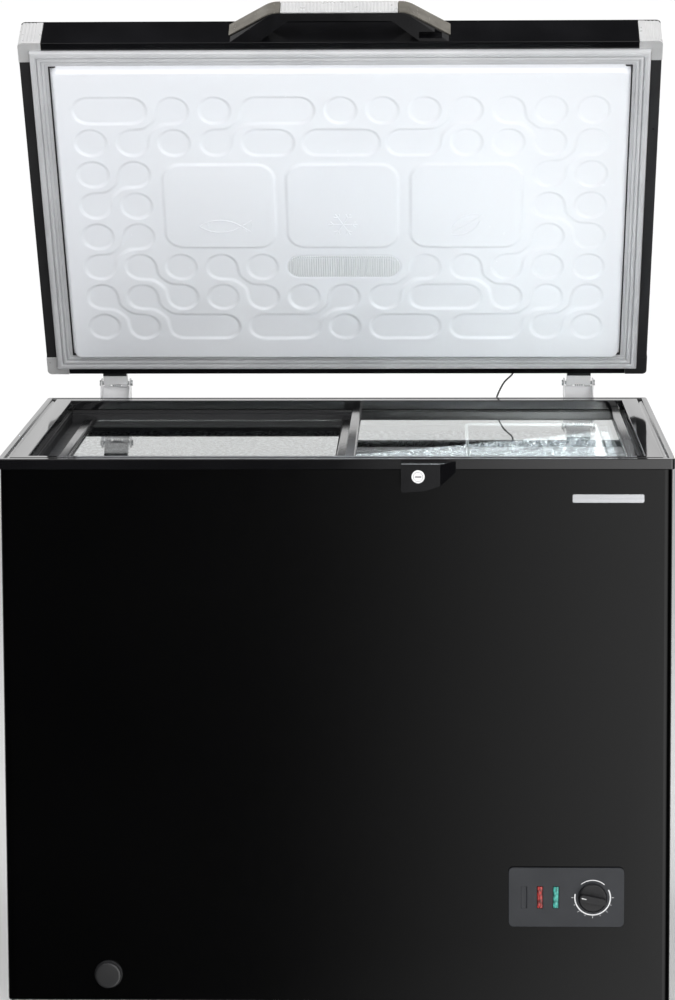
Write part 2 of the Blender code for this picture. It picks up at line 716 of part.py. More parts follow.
def lock():
    """Wedge-shaped housing on the front of the rim, with its barrel and cam."""
    top = RIM_TOP - 0.0033
    left, right = 0.0915, 0.168
    facet = 0.1457
    loop = filleted(
        [(left, top), (left, 0.752), (0.1260, 0.7545), (0.1480, 0.7625), (right, 0.7765),
         (right, top)],
        [0.001, 0.003, 0.03, 0.03, 0, 0], 3,
    )
    housing = part("lock_housing", outline("lock_housing", [loop], -LOCK_PROUD, -GAP, "y"),
                   "gloss_black", CABINET, True)
    wedge = [(facet, -LOCK_PROUD), (facet, -0.06), (0.2, -0.06), (0.2, 0.0412), (right, 0.0)]
    boolean(housing, outline("lock_facet", [wedge], 0.70, 0.85))
    boolean(housing, block(
        "lock_pocket", (LOCK_X - 0.0058, CAM_Y - 0.0006, LOCK_Z - 0.0058),
        (0.1549, CAM_Y + 0.0034, 0.82),
    ))
    boolean(housing, rods(
        "lock_bore", [((LOCK_X, -0.05, LOCK_Z), (LOCK_X, CAM_Y, LOCK_Z))], 0.0074, 20,
    ))
    profile = [
        (0, BARREL_PROUD), (0.0085, BARREL_PROUD), (0.0093, 0.0010), (0.0093, GAP),
        (0.0070, GAP), (0.0070, CAM_Y * -1 - LOCK_PROUD + GAP), (0, CAM_Y * -1 - LOCK_PROUD + GAP),
    ]
    barrel = turned("lock_barrel", profile, "chrome", CABINET, (LOCK_X, -LOCK_PROUD, LOCK_Z), 20)
    barrel.rotation_euler = (math.radians(90), 0, 0)
    lever = filleted(rectangle(-0.005, -0.005, CAM_REACH + 0.005, 0.005), 0.0045, 3)
    cam = part("lock_cam", outline("lock_cam", [lever], CAM_Y, CAM_Y + 0.0024, "y"), "zinc", CABINET)
    cam.location = (LOCK_X, 0, LOCK_Z)


# ---------------------------------------------------------------- sliding glass and basket
def glass_lid(side, x, ledge, depth):
    """A pane on its ledge with an edge strip at each end."""
    front = RIM_FRONT + GAP + depth + 0.0007
    rear = RIM_DEPTH - RIM_REAR - GAP - depth - 0.0007
    low = ledge + GAP
    high = low + GLASS
    part(f"glass_{side}_pane", block(
        f"glass_{side}_pane", (x, front, low), (x + GLASS_LENGTH, rear, high),
    ), "glass", CABINET)
    edge = 0.002
    for end, start, sign in (("left", x, 1), ("right", x + GLASS_LENGTH, -1)):
        section = [
            (start - sign * (edge + GAP), low), (start - sign * GAP, low),
            (start - sign * GAP, high + GAP), (start + sign * (STRIP_WIDTH - edge), high + GAP),
            (start + sign * (STRIP_WIDTH - edge), high + STRIP_RISE - 0.002),
            (start + sign * (STRIP_WIDTH - edge - 0.003), high + STRIP_RISE),
            (start - sign * (edge + GAP), high + STRIP_RISE),
        ]
        name = f"glass_{side}_{end}_strip"
        part(name, outline(name, [section], front, rear, "y"), "gloss_black", CABINET)


def basket():
    """Storage basket as a plain open box, hung by two lips on the lowest ledge."""
    low = (BASKET_X[0], TUB_FRONT + 0.002, BASKET_Z)
    high = (BASKET_X[1], TUB_REAR - 0.002, BASKET_LEDGE + 0.0043)
    box = part("wire_basket", block("wire_basket", low, high), "white", CABINET)
    lip = BASKET_LIP - 0.0016
    opening = RIM_FRONT + GAP + 0.002 + 2 * LEDGE
    opening_rear = RIM_DEPTH - RIM_REAR - GAP - 0.002 - 2 * LEDGE
    boolean(box, block(
        "basket_lips", (low[0], opening + 0.001, BASKET_LEDGE + GAP),
        (high[0], opening + lip + 0.01, high[2] + 0.0001),
        (low[0], opening_rear - lip - 0.01, BASKET_LEDGE + GAP),
        (high[0], opening_rear - 0.001, high[2] + 0.0001),
    ), "UNION")
    wall = 0.004
    boolean(box, block(
        "basket_inside", (low[0] + wall, low[1] + wall, low[2] + wall),
        (high[0] - wall, high[1] - wall, high[2] + 0.01),
    ))


# ---------------------------------------------------------------- hinges
def hinge(side, x):
    """A folded bracket on the back, an arm screwed to the lid and the pin they turn on."""
    back = CASE_REAR + GAP
    base = part(f"hinge_base_{side}", block(
        f"hinge_base_{side}", (x - 0.024, back, 0.700), (x + 0.024, back + 0.002, CASE_TOP - 0.001),
    ), "chrome", CABINET)
    ear = filleted(
        [(back + 0.001, 0.745), (back + 0.016, 0.745), (PIVOT_Y + 0.008, PIVOT_Z - 0.008),
         (PIVOT_Y + 0.008, PIVOT_Z + 0.0075), (PIVOT_Y - 0.008, PIVOT_Z + 0.0075),
         (RIM_DEPTH + 0.001, RIM_TOP - 0.003), (RIM_DEPTH + 0.001, CASE_TOP - 0.0015),
         (back + 0.001, CASE_TOP - 0.0015)],
        [0, 0.005, 0.006, 0.006, 0.006, 0, 0, 0], 3,
    )
    for sign in (-1, 1):
        near, far = sorted((x + sign * 0.0215, x + sign * 0.0235))
        boolean(base, outline(f"ear_{side}_{sign}", [ear], near, far, "x"), "UNION")
    hole = [((x - 0.05, PIVOT_Y, PIVOT_Z), (x + 0.05, PIVOT_Y, PIVOT_Z))]
    boolean(base, rods(f"ear_hole_{side}", hole, PIN_HOLE_R))
    pin = part(f"hinge_pin_{side}", rods(
        f"hinge_pin_{side}", [((x - 0.0255, PIVOT_Y, PIVOT_Z), (x + 0.0255, PIVOT_Y, PIVOT_Z))], PIN_R,
    ), "zinc", CABINET, True)
    for sign in (-1, 1):
        ends = [((x + sign * 0.0239, PIVOT_Y, PIVOT_Z), (x + sign * 0.0260, PIVOT_Y, PIVOT_Z))]
        boolean(pin, rods(f"pin_head_{side}_{sign}", ends, 0.0046), "UNION")
    arm = part(f"hinge_arm_{side}", block(
        f"hinge_arm_{side}", (x - 0.019, LID_REAR - 0.0004, LID_Z + 0.004),
        (x + 0.019, LID_REAR + 0.0021, LID_Z + 0.050),
    ), "chrome", LID)
    for sign in (-1, 1):
        near, far = sorted((x + sign * 0.0095, x + sign * 0.0188))
        boolean(arm, block(
            f"tongue_{side}_{sign}", (near, LID_REAR + 0.001, PIVOT_Z - 0.002),
            (far, PIVOT_Y - 0.001, PIVOT_Z + 0.002),
        ), "UNION")
        ends = [((near - 0.0001, PIVOT_Y, PIVOT_Z), (far + 0.0001, PIVOT_Y, PIVOT_Z))]
        boolean(arm, rods(f"knuckle_{side}_{sign}", ends, 0.006), "UNION")
    boolean(arm, rods(f"arm_bore_{side}", hole, PIN_HOLE_R))


def hinge_spring(side, x):
    """The torsion spring round a pin, between the arm's two knuckles."""
    turns, around = 4, 8
    radius = 0.0050
    points = []
    for k in range(turns * around + 1):
        angle = 2 * math.pi * k / around
        points.append((
            x - 0.0068 + 0.0136 * k / (turns * around),
            PIVOT_Y + radius * math.cos(angle), PIVOT_Z + radius * math.sin(angle),
        ))
    name = f"hinge_spring_{side}"
    part(name, tube(name, points, 0.0010, 1), "zinc", CABINET, True)


# ---------------------------------------------------------------- lid
def lid_edges():
    """Four L-shaped edge strips and the corner caps that join them."""
    half = RIM_WIDTH / 2
    inset = 0.00075
    wall, width, side_width, sole = 0.002, 0.014, 0.016, 0.002
    top = LID_TOP - 0.0015
    for name, face, sign in (("front", LID_FRONT, 1), ("rear", LID_REAR, -1)):
        start = face + sign * inset
        section = [
            (start, LID_Z), (face + sign * width, LID_Z), (face + sign * width, LID_Z + sole),
            (start + sign * wall, LID_Z + sole), (start + sign * wall, top), (start, top),
        ]
        reach = half - CAP_LEG - GAP
        part(f"lid_edge_{name}", outline(f"lid_edge_{name}", [section], -reach, reach, "x"),
             "gloss_black", LID)
    for name, sign in (("left", 1), ("right", -1)):
        face = -sign * half
        start = face + sign * inset
        section = [
            (start, LID_Z), (face + sign * side_width, LID_Z),
            (face + sign * side_width, LID_Z + sole), (start + sign * wall, LID_Z + sole),
            (start + sign * wall, top), (start, top),
        ]
        part(f"lid_edge_{name}", outline(
            f"lid_edge_{name}", [section], LID_FRONT + CAP_LEG + GAP, LID_REAR - CAP_LEG - GAP, "y",
        ), "dark_grey", LID)
    for name, face_y, sign_y, depth in (
        ("front", LID_FRONT, 1, width), ("rear", LID_REAR, -1, width),
    ):
        for side, sign_x in (("left", 1), ("right", -1)):
            corner_cap(f"lid_corner_{name}_{side}", -sign_x * half, face_y, sign_x, sign_y,
                       side_width, depth, top)


def angle_loop(x, y, sign_x, sign_y, wide_x, wide_y):
    """An L seen from above with a rounded outer corner."""
    points = [
        (0, 0), (CAP_LEG, 0), (CAP_LEG, wide_y), (wide_x, wide_y), (wide_x, CAP_LEG), (0, CAP_LEG),
    ]
    loop = filleted(points, [0.007, 0, 0, 0, 0, 0], 4)
    return [(x + sign_x * u, y + sign_y * v) for u, v in loop]


def corner_cap(name, x, y, sign_x, sign_y, side_width, width, top):
    wall = 0.003
    cap = part(name, outline(
        name, [angle_loop(x, y, sign_x, sign_y, wall, wall)], LID_Z + 0.001, top,
    ), "silver" if "front" in name or "left" in name else "dark_grey", LID, True)
    boolean(cap, outline(
        name + "_sole", [angle_loop(x, y, sign_x, sign_y, side_width, width)],
        LID_Z - 0.0003, LID_Z + 0.0024,
    ), "UNION")


def lid_shell():
    """The top sheet, the foam core and the white liner with its raised field."""
    half = RIM_WIDTH / 2
    loop = filleted(rectangle(-half, LID_FRONT, half, LID_REAR), 0.007)
    part("lid_top_skin", outline("lid_top_skin", [loop], LID_TOP - 0.0012, LID_TOP),
         "gloss_black", LID, True)
    inset = 0.0045
    foam = part("lid_foam", block(
        "lid_foam", (-half + inset, LID_FRONT + inset, LID_Z + 0.003),
        (half - inset, LID_REAR - inset, LID_TOP - 0.0015),
    ), "foam", LID)
    boolean(foam, block(
        "lid_foam_field", (-BULGE_HALF + 0.002, BULGE_FRONT + 0.002, LID_Z - BULGE_DROP + 0.0013),
        (BULGE_HALF - 0.002, BULGE_REAR - 0.002, LID_Z + 0.01),
    ), "UNION")
    boolean(foam, block(
        "lamp_pocket", (-0.090, LAMP_Y - 0.026, LID_Z - 0.03), (0.090, LAMP_Y + 0.026, LID_Z + 0.015),
    ))
    draft = 0.003
    flange = rectangle(-half + 0.0163, LID_FRONT + 0.0143, half - 0.0163, LID_REAR - 0.0143)
    liner = part("lid_liner", outline("lid_liner", [flange], LID_Z + 0.0012, LID_Z + 0.0022),
                 "white", LID)
    low = (-BULGE_HALF - draft, BULGE_FRONT - draft, LID_Z - BULGE_DROP)
    high = (BULGE_HALF + draft, BULGE_REAR + draft, LID_Z + 0.0017)
    boolean(liner, tapered_block("lid_field", low, high, draft), "UNION")
    sheet = 0.001
    low = (low[0] + sheet, low[1] + sheet, low[2] + sheet)
    high = (high[0] - sheet, high[1] - sheet, LID_Z + 0.01)
    boolean(liner, tapered_block("lid_field_inside", low, high, draft))
    lens = lamp_outline(GAP)
    boolean(liner, outline("lamp_window", [lens], LID_Z - 0.03, LID_Z))


def lamp_outline(grow):
    """A slot with round ends, which is the lamp's lens."""
    loop = rectangle(-0.0865 - grow, LAMP_Y - 0.020 - grow, 0.0865 + grow, LAMP_Y + 0.020 + grow)
    return filleted(loop, 0.0198, 4)


def lid_lamp():
    """The lens over the lamp in the liner."""
    part("lamp_lens", outline(
        "lamp_lens", [lamp_outline(-GAP)], LID_Z - BULGE_DROP - 0.001, LID_Z - BULGE_DROP + 0.004,
    ), "grey_rubber", LID, True)


def lid_gasket():
    half = RIM_WIDTH / 2
    loops = []
    for grow in (0.0003, 0.0193):
        side, end = 0.016 + grow, 0.014 + grow
        loops.append(rectangle(-half + side, LID_FRONT + end, half - side, LID_REAR - end))
    mesh = outline("lid_gasket", loops, LID_Z - LID_GAP + GAP, LID_Z + 0.0009)
    part("lid_gasket", mesh, "grey_rubber", LID)


def arch(base, flat, reach, radius, left_to_right=True):
    """The handle's arch in plan, from one foot to the other, in (x, depth) points."""
    path = [(-base, 0), (-flat, reach), (flat, reach), (base, 0)]
    path = [(x, LID_FRONT - rise) for x, rise in filleted(path, radius, 4, closed=False)]
    return path if left_to_right else path[::-1]


def handle():
    """Arched pull handle on the lid's front with a bright trim round its outer side."""
    inner = arch(0.118, 0.077, 0.027, 0.015, False)
    outer = arch(0.1605, 0.0985, HANDLE_REACH - TRIM - GAP, 0.035)
    foot = LID_FRONT + GAP
    outer = [(outer[0][0], foot)] + outer[1:-1] + [(outer[-1][0], foot)]
    inner = [(inner[0][0], foot)] + inner[1:-1] + [(inner[-1][0], foot)]
    body = part("handle_body", outline(
        "handle_body", [outer + inner], LID_Z + 0.0005, LID_Z + HANDLE_TOP,
    ), "gloss_black", LID, True)
    under = [
        (LID_FRONT + 0.01, LID_Z - 0.0042), (LID_FRONT + 0.01, LID_Z - 0.03),
        (LID_FRONT - 0.06, LID_Z - 0.03), (LID_FRONT - 0.06, LID_Z + 0.0289),
    ]
    boolean(body, outline("handle_under", [under], -0.2, 0.2, "x"))
    boolean(body, block(
        "lock_notch",
        (0.1165, LID_FRONT - 0.0125, LID_Z - 0.01),
        (0.1500, LID_FRONT - 0.0040, LID_Z + 0.0155),
    ))
    outside = arch(0.163, 0.100, HANDLE_REACH, 0.036)
    inside = arch(0.163 - 0.0024, 0.100 - 0.0012, HANDLE_REACH - TRIM, 0.036 - TRIM, False)
    part("handle_trim", outline(
        "handle_trim", [outside + inside], LID_Z + TRIM_LOW, LID_Z + HANDLE_TOP,
    ), "silver", LID, True)


def lamp_cable():
    """The lamp's lead, which runs from the lid's rear edge into the back of the cabinet."""
    turn = Matrix.Rotation(-LID_OPEN, 3, "X")
    pivot = Vector((0, PIVOT_Y, PIVOT_Z))

    def on_lid(x, y, z):
        return pivot + turn @ (Vector((x, y, z)) - pivot)

    exit_lid = on_lid(CABLE_X[1], LID_REAR - 0.0003, LID_Z + 0.012)
    leaving = on_lid(CABLE_X[1], LID_REAR + 0.009, LID_Z + 0.010)
    entry = Vector((CABLE_X[0], CASE_REAR + GAP, 0.752))
    route = [
        exit_lid, leaving,
        Vector((0.248, RIM_DEPTH + 0.0160, RIM_TOP + 0.0200)),
        Vector((0.236, RIM_DEPTH + 0.0100, RIM_TOP - 0.0050)),
        Vector((CABLE_X[0], RIM_DEPTH + 0.0085, 0.765)),
        entry + Vector((0, 0.007, 0.0015)),
        entry,
    ]
    path = smooth_path(route, 22)
    part("lamp_cable", tube("lamp_cable", path, 0.0013, 2), "satin_black", CABINET, True)


# ---------------------------------------------------------------- build
clear_scene()
PARTS = collection("chest_freezer")
CUTTERS = collection("cutters")
CABINET = empty("cabinet_frame", (0, -CENTRE_Y, 0))
# The lid's pieces are modelled closed; this pair of empties turns them about the hinge pins.
PIVOT = empty("lid_pivot", (0, PIVOT_Y, PIVOT_Z), CABINET)
PIVOT.rotation_euler = (-LID_OPEN, 0, 0)
LID = empty("lid_frame", (0, -PIVOT_Y, -PIVOT_Z), PIVOT)

outer_case()
rear_panel()
base_pan()
feet()
inner_liner()
insulation_foam()
evaporator_coil()
condenser_coil()
rim_frame()
track_frame()
compressor()
covers()
control_panel()
thermostat()
drain()
lock()
glass_lid("left", LEFT_GLASS_X, LOWER_LEDGE, 0.002 + LEDGE)
glass_lid("right", RIGHT_GLASS_X, UPPER_LEDGE, 0.002)
basket()
for hinge_side, hinge_x in (("left", -HINGE_X), ("right", HINGE_X)):
    hinge(hinge_side, hinge_x)
    hinge_spring(hinge_side, hinge_x)
lid_edges()
lid_shell()
lid_lamp()
lid_gasket()
handle()
lamp_cable()
bpy.context.view_layer.update()
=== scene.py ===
"""Looks of the chest freezer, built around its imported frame."""
import json
import math

import bmesh
import bpy
import numpy as np
from mathutils import Matrix, Vector


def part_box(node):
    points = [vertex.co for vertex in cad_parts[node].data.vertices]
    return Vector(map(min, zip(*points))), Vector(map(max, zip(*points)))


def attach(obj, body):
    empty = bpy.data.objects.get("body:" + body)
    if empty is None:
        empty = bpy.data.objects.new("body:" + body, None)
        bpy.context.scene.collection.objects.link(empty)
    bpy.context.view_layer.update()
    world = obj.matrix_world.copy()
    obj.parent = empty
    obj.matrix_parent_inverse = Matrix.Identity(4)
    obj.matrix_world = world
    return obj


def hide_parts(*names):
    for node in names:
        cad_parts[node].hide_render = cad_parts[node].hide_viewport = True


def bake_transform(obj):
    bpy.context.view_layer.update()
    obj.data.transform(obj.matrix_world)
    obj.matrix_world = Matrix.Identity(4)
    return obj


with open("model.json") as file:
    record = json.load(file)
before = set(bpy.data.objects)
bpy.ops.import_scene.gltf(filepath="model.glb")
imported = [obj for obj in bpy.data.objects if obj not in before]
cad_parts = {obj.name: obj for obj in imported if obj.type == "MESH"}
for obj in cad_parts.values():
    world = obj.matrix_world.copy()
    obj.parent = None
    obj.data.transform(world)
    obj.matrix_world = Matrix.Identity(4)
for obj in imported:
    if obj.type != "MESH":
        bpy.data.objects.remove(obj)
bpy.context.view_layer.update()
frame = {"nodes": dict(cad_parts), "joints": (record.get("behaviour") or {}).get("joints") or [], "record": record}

# ------------ places taken from the frame
HINGE = next(j for j in frame["joints"] if j["name"] == "lid_hinge")
PIVOT = Vector(HINGE["pos_m"])
LID_OPEN = math.radians(-HINGE["range_deg"][0])
CLOSED_TO_REST = (
    Matrix.Translation(PIVOT) @ Matrix.Rotation(-LID_OPEN, 4, "X") @ Matrix.Translation(-PIVOT)
)
REST_TO_CLOSED = CLOSED_TO_REST.inverted()


def closed_box(node):
    """A lid node's lowest and highest corners with the lid shut."""
    places = [REST_TO_CLOSED @ vert.co for vert in frame["nodes"][node].data.vertices]
    low = Vector(min(p[i] for p in places) for i in range(3))
    high = Vector(max(p[i] for p in places) for i in range(3))
    return low, high


SKIN_LOW, SKIN_HIGH = closed_box("lid_top_skin")
LINER_LOW, LINER_HIGH = closed_box("lid_liner")
GASKET_LOW, GASKET_HIGH = closed_box("lid_gasket")
LENS_LOW, LENS_HIGH = closed_box("lamp_lens")
CAP_LOW, CAP_HIGH = closed_box("lid_corner_front_left")
TRIM_LOW, TRIM_HIGH = closed_box("handle_trim")
LID_HALF = SKIN_HIGH.x
LID_FRONT = SKIN_LOW.y
LID_REAR = SKIN_HIGH.y
LID_Z = CAP_LOW.z + 0.0003
RIM_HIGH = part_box("rim_frame")[1]
CASE_LOW, CASE_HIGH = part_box("outer_case")
PANEL_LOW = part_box("control_panel")[0]
KNOB_LOW, KNOB_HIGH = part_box("thermostat_knob")
BARREL_LOW, BARREL_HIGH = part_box("lock_barrel")
BASKET_LOW, BASKET_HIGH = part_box("wire_basket")
CAP_LEG = CAP_HIGH.x - CAP_LOW.x
GASKET_SIDE = LID_HALF - GASKET_HIGH.x
GASKET_END = GASKET_LOW.y - LID_FRONT
KNOB_CENTRE = ((KNOB_LOW.x + KNOB_HIGH.x) / 2, (KNOB_LOW.z + KNOB_HIGH.z) / 2)
LENS_Y = (LENS_LOW.y + LENS_HIGH.y) / 2
LENS_HALF = (LENS_HIGH.y - LENS_LOW.y) / 2
SLOTS = {s["node"]: s["material_slot"] for s in frame["record"]["subparts"]}

# ------------ the lid liner's embossing
FLANGE_Z = LID_Z + 0.0012
FIELD_HALF = 0.4283  # half width of the raised field where it meets the flange
FIELD_FRONT = 0.0392  # its distances from the lid's front and rear edges
FIELD_REAR = 0.0398
FIELD_ROUND = 0.0035
FIELD_WALL = 0.003
FIELD_CORNER = 0.014
FIELD_EASE = 0.85  # makes the field's side a little steeper at its foot
SHEET_LIFT = 0.0006  # the visible sheet lies this far above the CAD liner's lowest face
COLUMN_PITCH = 0.0624
ROW_PITCH = 0.05834
FIRST_ROW = 0.5158  # the front row's distance from the lid's rear edge
MIDDLE_COLUMN = 7
CELL_RADIUS = 0.0257
CELL_DEPTH = 0.0018
CELL_WALL = 0.0046
NECK_SHARE = 0.30  # half width of a neck between two cells, as a share of their radius
NECK_BLEND = 0.016
FAR_AWAY = 1.0
CELLS = {
    1: ((1, 2), (3, 3), (4, 4), (5, 6), (7, 7), (8, 8), (9, 9), (10, 10), (11, 11),
        (12, 12), (13, 13)),
    2: ((1, 1), (2, 2), (3, 3), (4, 4), (5, 5.5), (6.45, 7.55), (8.45, 9), (10, 10), (11, 11),
        (12, 12), (13, 13)),
    3: ((1, 1), (2, 2), (12, 12), (13, 13)),
    4: ((1, 1), (2, 2), (12, 12), (13, 13)),
    5: ((1, 1), (2, 2), (12, 12), (13, 13)),
    6: ((1, 1), (2, 2), (3, 3), (4, 4), (5, 5), (9, 9), (10, 10), (11, 11), (12, 12), (13, 13)),
    7: ((1, 1), (2, 2), (3, 3), (4, 4), (5, 5), (6, 6), (7, 7), (8, 8), (9, 10), (11, 11),
        (12, 12), (13, 13)),
    8: ((1, 1), (2, 2), (3, 4), (5, 6), (7, 7), (8, 9), (10, 11), (12, 12), (13, 13)),
}
# pairs of neighbours joined across a diagonal: row and column of the upper, column of the lower
LINKS = (
    (1, 3, 2), (1, 5, 4), (1, 10, 9), (1, 11, 12), (2, 13, 12), (3, 2, 1), (4, 12, 13),
    (5, 2, 1), (5, 12, 11), (6, 2, 3), (6, 4, 5), (6, 9, 8), (6, 10, 11), (7, 1, 2), (7, 2, 3),
    (7, 7, 6), (7, 12, 11), (7, 13, 12),
)
LABELS_X = (-0.1862, 0.0, 0.1872)
LABEL_S = 0.3404
LABEL_SIZE = (0.0865, 0.0805)  # half sizes of a raised label field
LABEL_ROUND = 0.030
LABEL_RISE = 0.0018
LABEL_WALL = 0.0045
WELL_MARGIN = 0.0022  # the shallow well round the lamp's lens
WELL_CORNER = 0.0215
WELL_DEPTH = 0.0012
WELL_WALL = 0.0016
LENS_LAP = 0.002  # the sheet reaches this far under the lens
LENS_HOLE_CORNER = 0.018
LINER_STEP = 0.0019


# ------------ materials
class Surface:
    """A Principled material and the few nodes that give it its grain."""

    def __init__(self, name, colour, roughness, metallic=0.0, **sockets):
        self.material = bpy.data.materials.new(name)
        self.material.use_nodes = True
        self.tree = self.material.node_tree
        self.shader = self.tree.nodes["Principled BSDF"]
        self.shader.inputs["Base Color"].default_value = (*colour, 1.0)
        self.shader.inputs["Roughness"].default_value = roughness
        self.shader.inputs["Metallic"].default_value = metallic
        for socket, value in sockets.items():
            self.shader.inputs[socket.replace("_", " ")].default_value = value
        self.place = self.node("ShaderNodeTexCoord").outputs["Object"]

    def node(self, kind, **inputs):
        made = self.tree.nodes.new(kind)
        for name, value in inputs.items():
            made.inputs[name.replace("_", " ")].default_value = value
        return made

    def link(self, start, end):
        self.tree.links.new(start, end)

    def stretched(self, stretch):
        mapping = self.node("ShaderNodeMapping", Scale=stretch)
        self.link(self.place, mapping.inputs["Vector"])
        return mapping.outputs["Vector"]

    def noise(self, scale, detail=3.0, stretch=(1, 1, 1)):
        made = self.node("ShaderNodeTexNoise", Scale=scale, Detail=detail)
        self.link(self.stretched(stretch), made.inputs["Vector"])
        return made.outputs["Fac"]

    def cells(self, scale, stretch=(1, 1, 1)):
        made = self.node("ShaderNodeTexVoronoi", Scale=scale)
        self.link(self.stretched(stretch), made.inputs["Vector"])
        return made.outputs["Distance"]

    def waves(self, scale, direction="X", distortion=0.0):
        made = self.node("ShaderNodeTexWave", Scale=scale, Distortion=distortion)
        made.bands_direction = direction
        self.link(self.place, made.inputs["Vector"])
        return made.outputs["Fac"]

    def tint(self, factor, low, high, start=0.3, end=0.7):
        """The base colour runs from low to high with the factor."""
        ramp = self.node("ShaderNodeValToRGB")
        ramp.color_ramp.elements[0].position = start
        ramp.color_ramp.elements[0].color = (*low, 1.0)
        ramp.color_ramp.elements[1].position = end
        ramp.color_ramp.elements[1].color = (*high, 1.0)
        self.link(factor, ramp.inputs["Fac"])
        self.link(ramp.outputs["Color"], self.shader.inputs["Base Color"])
        return self

    def rough(self, factor, low, high):
        spread = self.node("ShaderNodeMapRange", To_Min=low, To_Max=high)
        self.link(factor, spread.inputs["Value"])
        self.link(spread.outputs["Result"], self.shader.inputs["Roughness"])
        return self

    def bump(self, factor, strength, distance):
        previous = self.shader.inputs["Normal"].links
        made = self.node("ShaderNodeBump", Strength=strength, Distance=distance)
        if previous:
            self.link(previous[0].from_socket, made.inputs["Normal"])
        self.link(factor, made.inputs["Height"])
        self.link(made.outputs["Normal"], self.shader.inputs["Normal"])
        return self


def case_paint():
    made = Surface("case_paint", (0.003, 0.003, 0.003), 0.13, Specular_IOR_Level=0.3)
    made.tint(made.noise(3.0), (0.0005, 0.0005, 0.0006), (0.0010, 0.0010, 0.0011))
    made.rough(made.noise(60.0), 0.12, 0.15)
    return made.bump(made.noise(700.0, 2.0), 0.05, 0.0003)


def gloss_black():
    made = Surface("gloss_black", (0.004, 0.004, 0.0045), 0.12, Specular_IOR_Level=0.45)
    made.tint(made.noise(8.0), (0.003, 0.003, 0.0035), (0.006, 0.006, 0.007))
    made.rough(made.noise(40.0, 5.0), 0.07, 0.17)
    return made.bump(made.noise(350.0, 2.0), 0.04, 0.0003)


def rim_gloss():
    made = Surface("rim_gloss", (0.004, 0.004, 0.0045), 0.06, Specular_IOR_Level=0.9)
    made.tint(made.noise(8.0), (0.003, 0.003, 0.0035), (0.006, 0.006, 0.007))
    made.rough(made.noise(40.0, 5.0), 0.03, 0.09)
    return made.bump(made.noise(350.0, 2.0), 0.02, 0.0002)


def satin_black():
    made = Surface("satin_black", (0.012, 0.012, 0.013), 0.4)
    made.tint(made.noise(20.0), (0.009, 0.009, 0.010), (0.016, 0.016, 0.018))
    made.rough(made.noise(90.0, 4.0), 0.34, 0.5)
    return made.bump(made.noise(1400.0, 2.0), 0.12, 0.0004)


def dark_grey():
    made = Surface("dark_grey", (0.02, 0.02, 0.021), 0.3)
    made.tint(made.noise(12.0), (0.017, 0.017, 0.018), (0.024, 0.024, 0.025))
    made.rough(made.noise(80.0, 4.0), 0.24, 0.38)
    return made.bump(made.noise(1500.0, 2.0), 0.12, 0.0004)


def panel_grey():
    made = Surface("panel_grey", (0.024, 0.026, 0.031), 0.36)
    made.tint(made.noise(25.0), (0.021, 0.023, 0.027), (0.028, 0.030, 0.035))
    made.rough(made.noise(90.0, 4.0), 0.36, 0.5)
    return made.bump(made.cells(1500.0), 0.10, 0.0003)


def silver():
    made = Surface("silver", (0.66, 0.66, 0.66), 0.28, 0.4)
    made.tint(made.noise(30.0), (0.63, 0.63, 0.635), (0.69, 0.69, 0.69))
    made.rough(made.noise(60.0, 4.0), 0.24, 0.34)
    return made.bump(made.noise(300.0, 2.0), 0.03, 0.0002)


def bronze_grey():
    made = Surface("bronze_grey", (0.20, 0.185, 0.16), 0.24, 0.5)
    made.tint(made.noise(18.0, 4.0, (1, 4, 4)), (0.16, 0.148, 0.128), (0.25, 0.235, 0.205))
    made.rough(made.noise(160.0, 4.0), 0.18, 0.32)
    return made.bump(made.noise(900.0, 2.0, (0.1, 1, 1)), 0.05, 0.0003)


def chrome():
    # painted reflection: a near-white base with little metal in it stands in for the bright reflections of chrome
    made = Surface("chrome", (0.94, 0.94, 0.95), 0.2, 0.15)
    made.tint(made.noise(30.0), (0.92, 0.92, 0.93), (0.96, 0.96, 0.97))
    made.rough(made.noise(120.0, 5.0), 0.14, 0.26)
    return made.bump(made.noise(500.0), 0.02, 0.0003)


def zinc():
    made = Surface("zinc", (0.52, 0.53, 0.54), 0.35, 1.0)
    made.tint(made.cells(160.0), (0.46, 0.47, 0.48), (0.58, 0.59, 0.60), 0.1, 0.8)
    made.rough(made.noise(200.0, 4.0), 0.28, 0.46)
    return made.bump(made.noise(700.0, 3.0, (1, 0.1, 1)), 0.06, 0.0003)


def stucco_aluminium():
    """Embossed sheet: small irregular pebbles pressed into bright metal."""
    made = Surface("stucco_aluminium", (0.78, 0.80, 0.82), 0.3, 1.0)
    made.tint(made.noise(9.0), (0.74, 0.77, 0.80), (0.84, 0.86, 0.88))
    made.rough(made.noise(150.0, 4.0), 0.2, 0.34)
    made.bump(made.cells(230.0), 1.0, 0.0030)
    return made.bump(made.noise(420.0, 2.0), 0.4, 0.0010)


def copper():
    made = Surface("copper", (0.65, 0.33, 0.2), 0.3, 1.0)
    made.tint(made.noise(50.0, 4.0), (0.45, 0.2, 0.12), (0.78, 0.42, 0.28))
    return made.rough(made.noise(120.0), 0.22, 0.45)


def white_liner():
    made = Surface("white_liner", (0.82, 0.84, 0.88), 0.24)
    made.tint(made.noise(2.2, 2.0), (0.82, 0.84, 0.885), (0.855, 0.87, 0.905))
    made.rough(made.noise(70.0, 4.0), 0.2, 0.3)
    return made.bump(made.noise(600.0, 2.0), 0.03, 0.0003)


def white_wire():
    """Plastic-dipped wire, slightly uneven in its coating."""
    made = Surface("white_wire", (0.84, 0.85, 0.87), 0.3)
    made.tint(made.noise(40.0), (0.80, 0.81, 0.83), (0.88, 0.89, 0.91))
    made.rough(made.noise(120.0), 0.22, 0.38)
    return made.bump(made.noise(260.0), 0.12, 0.0004)


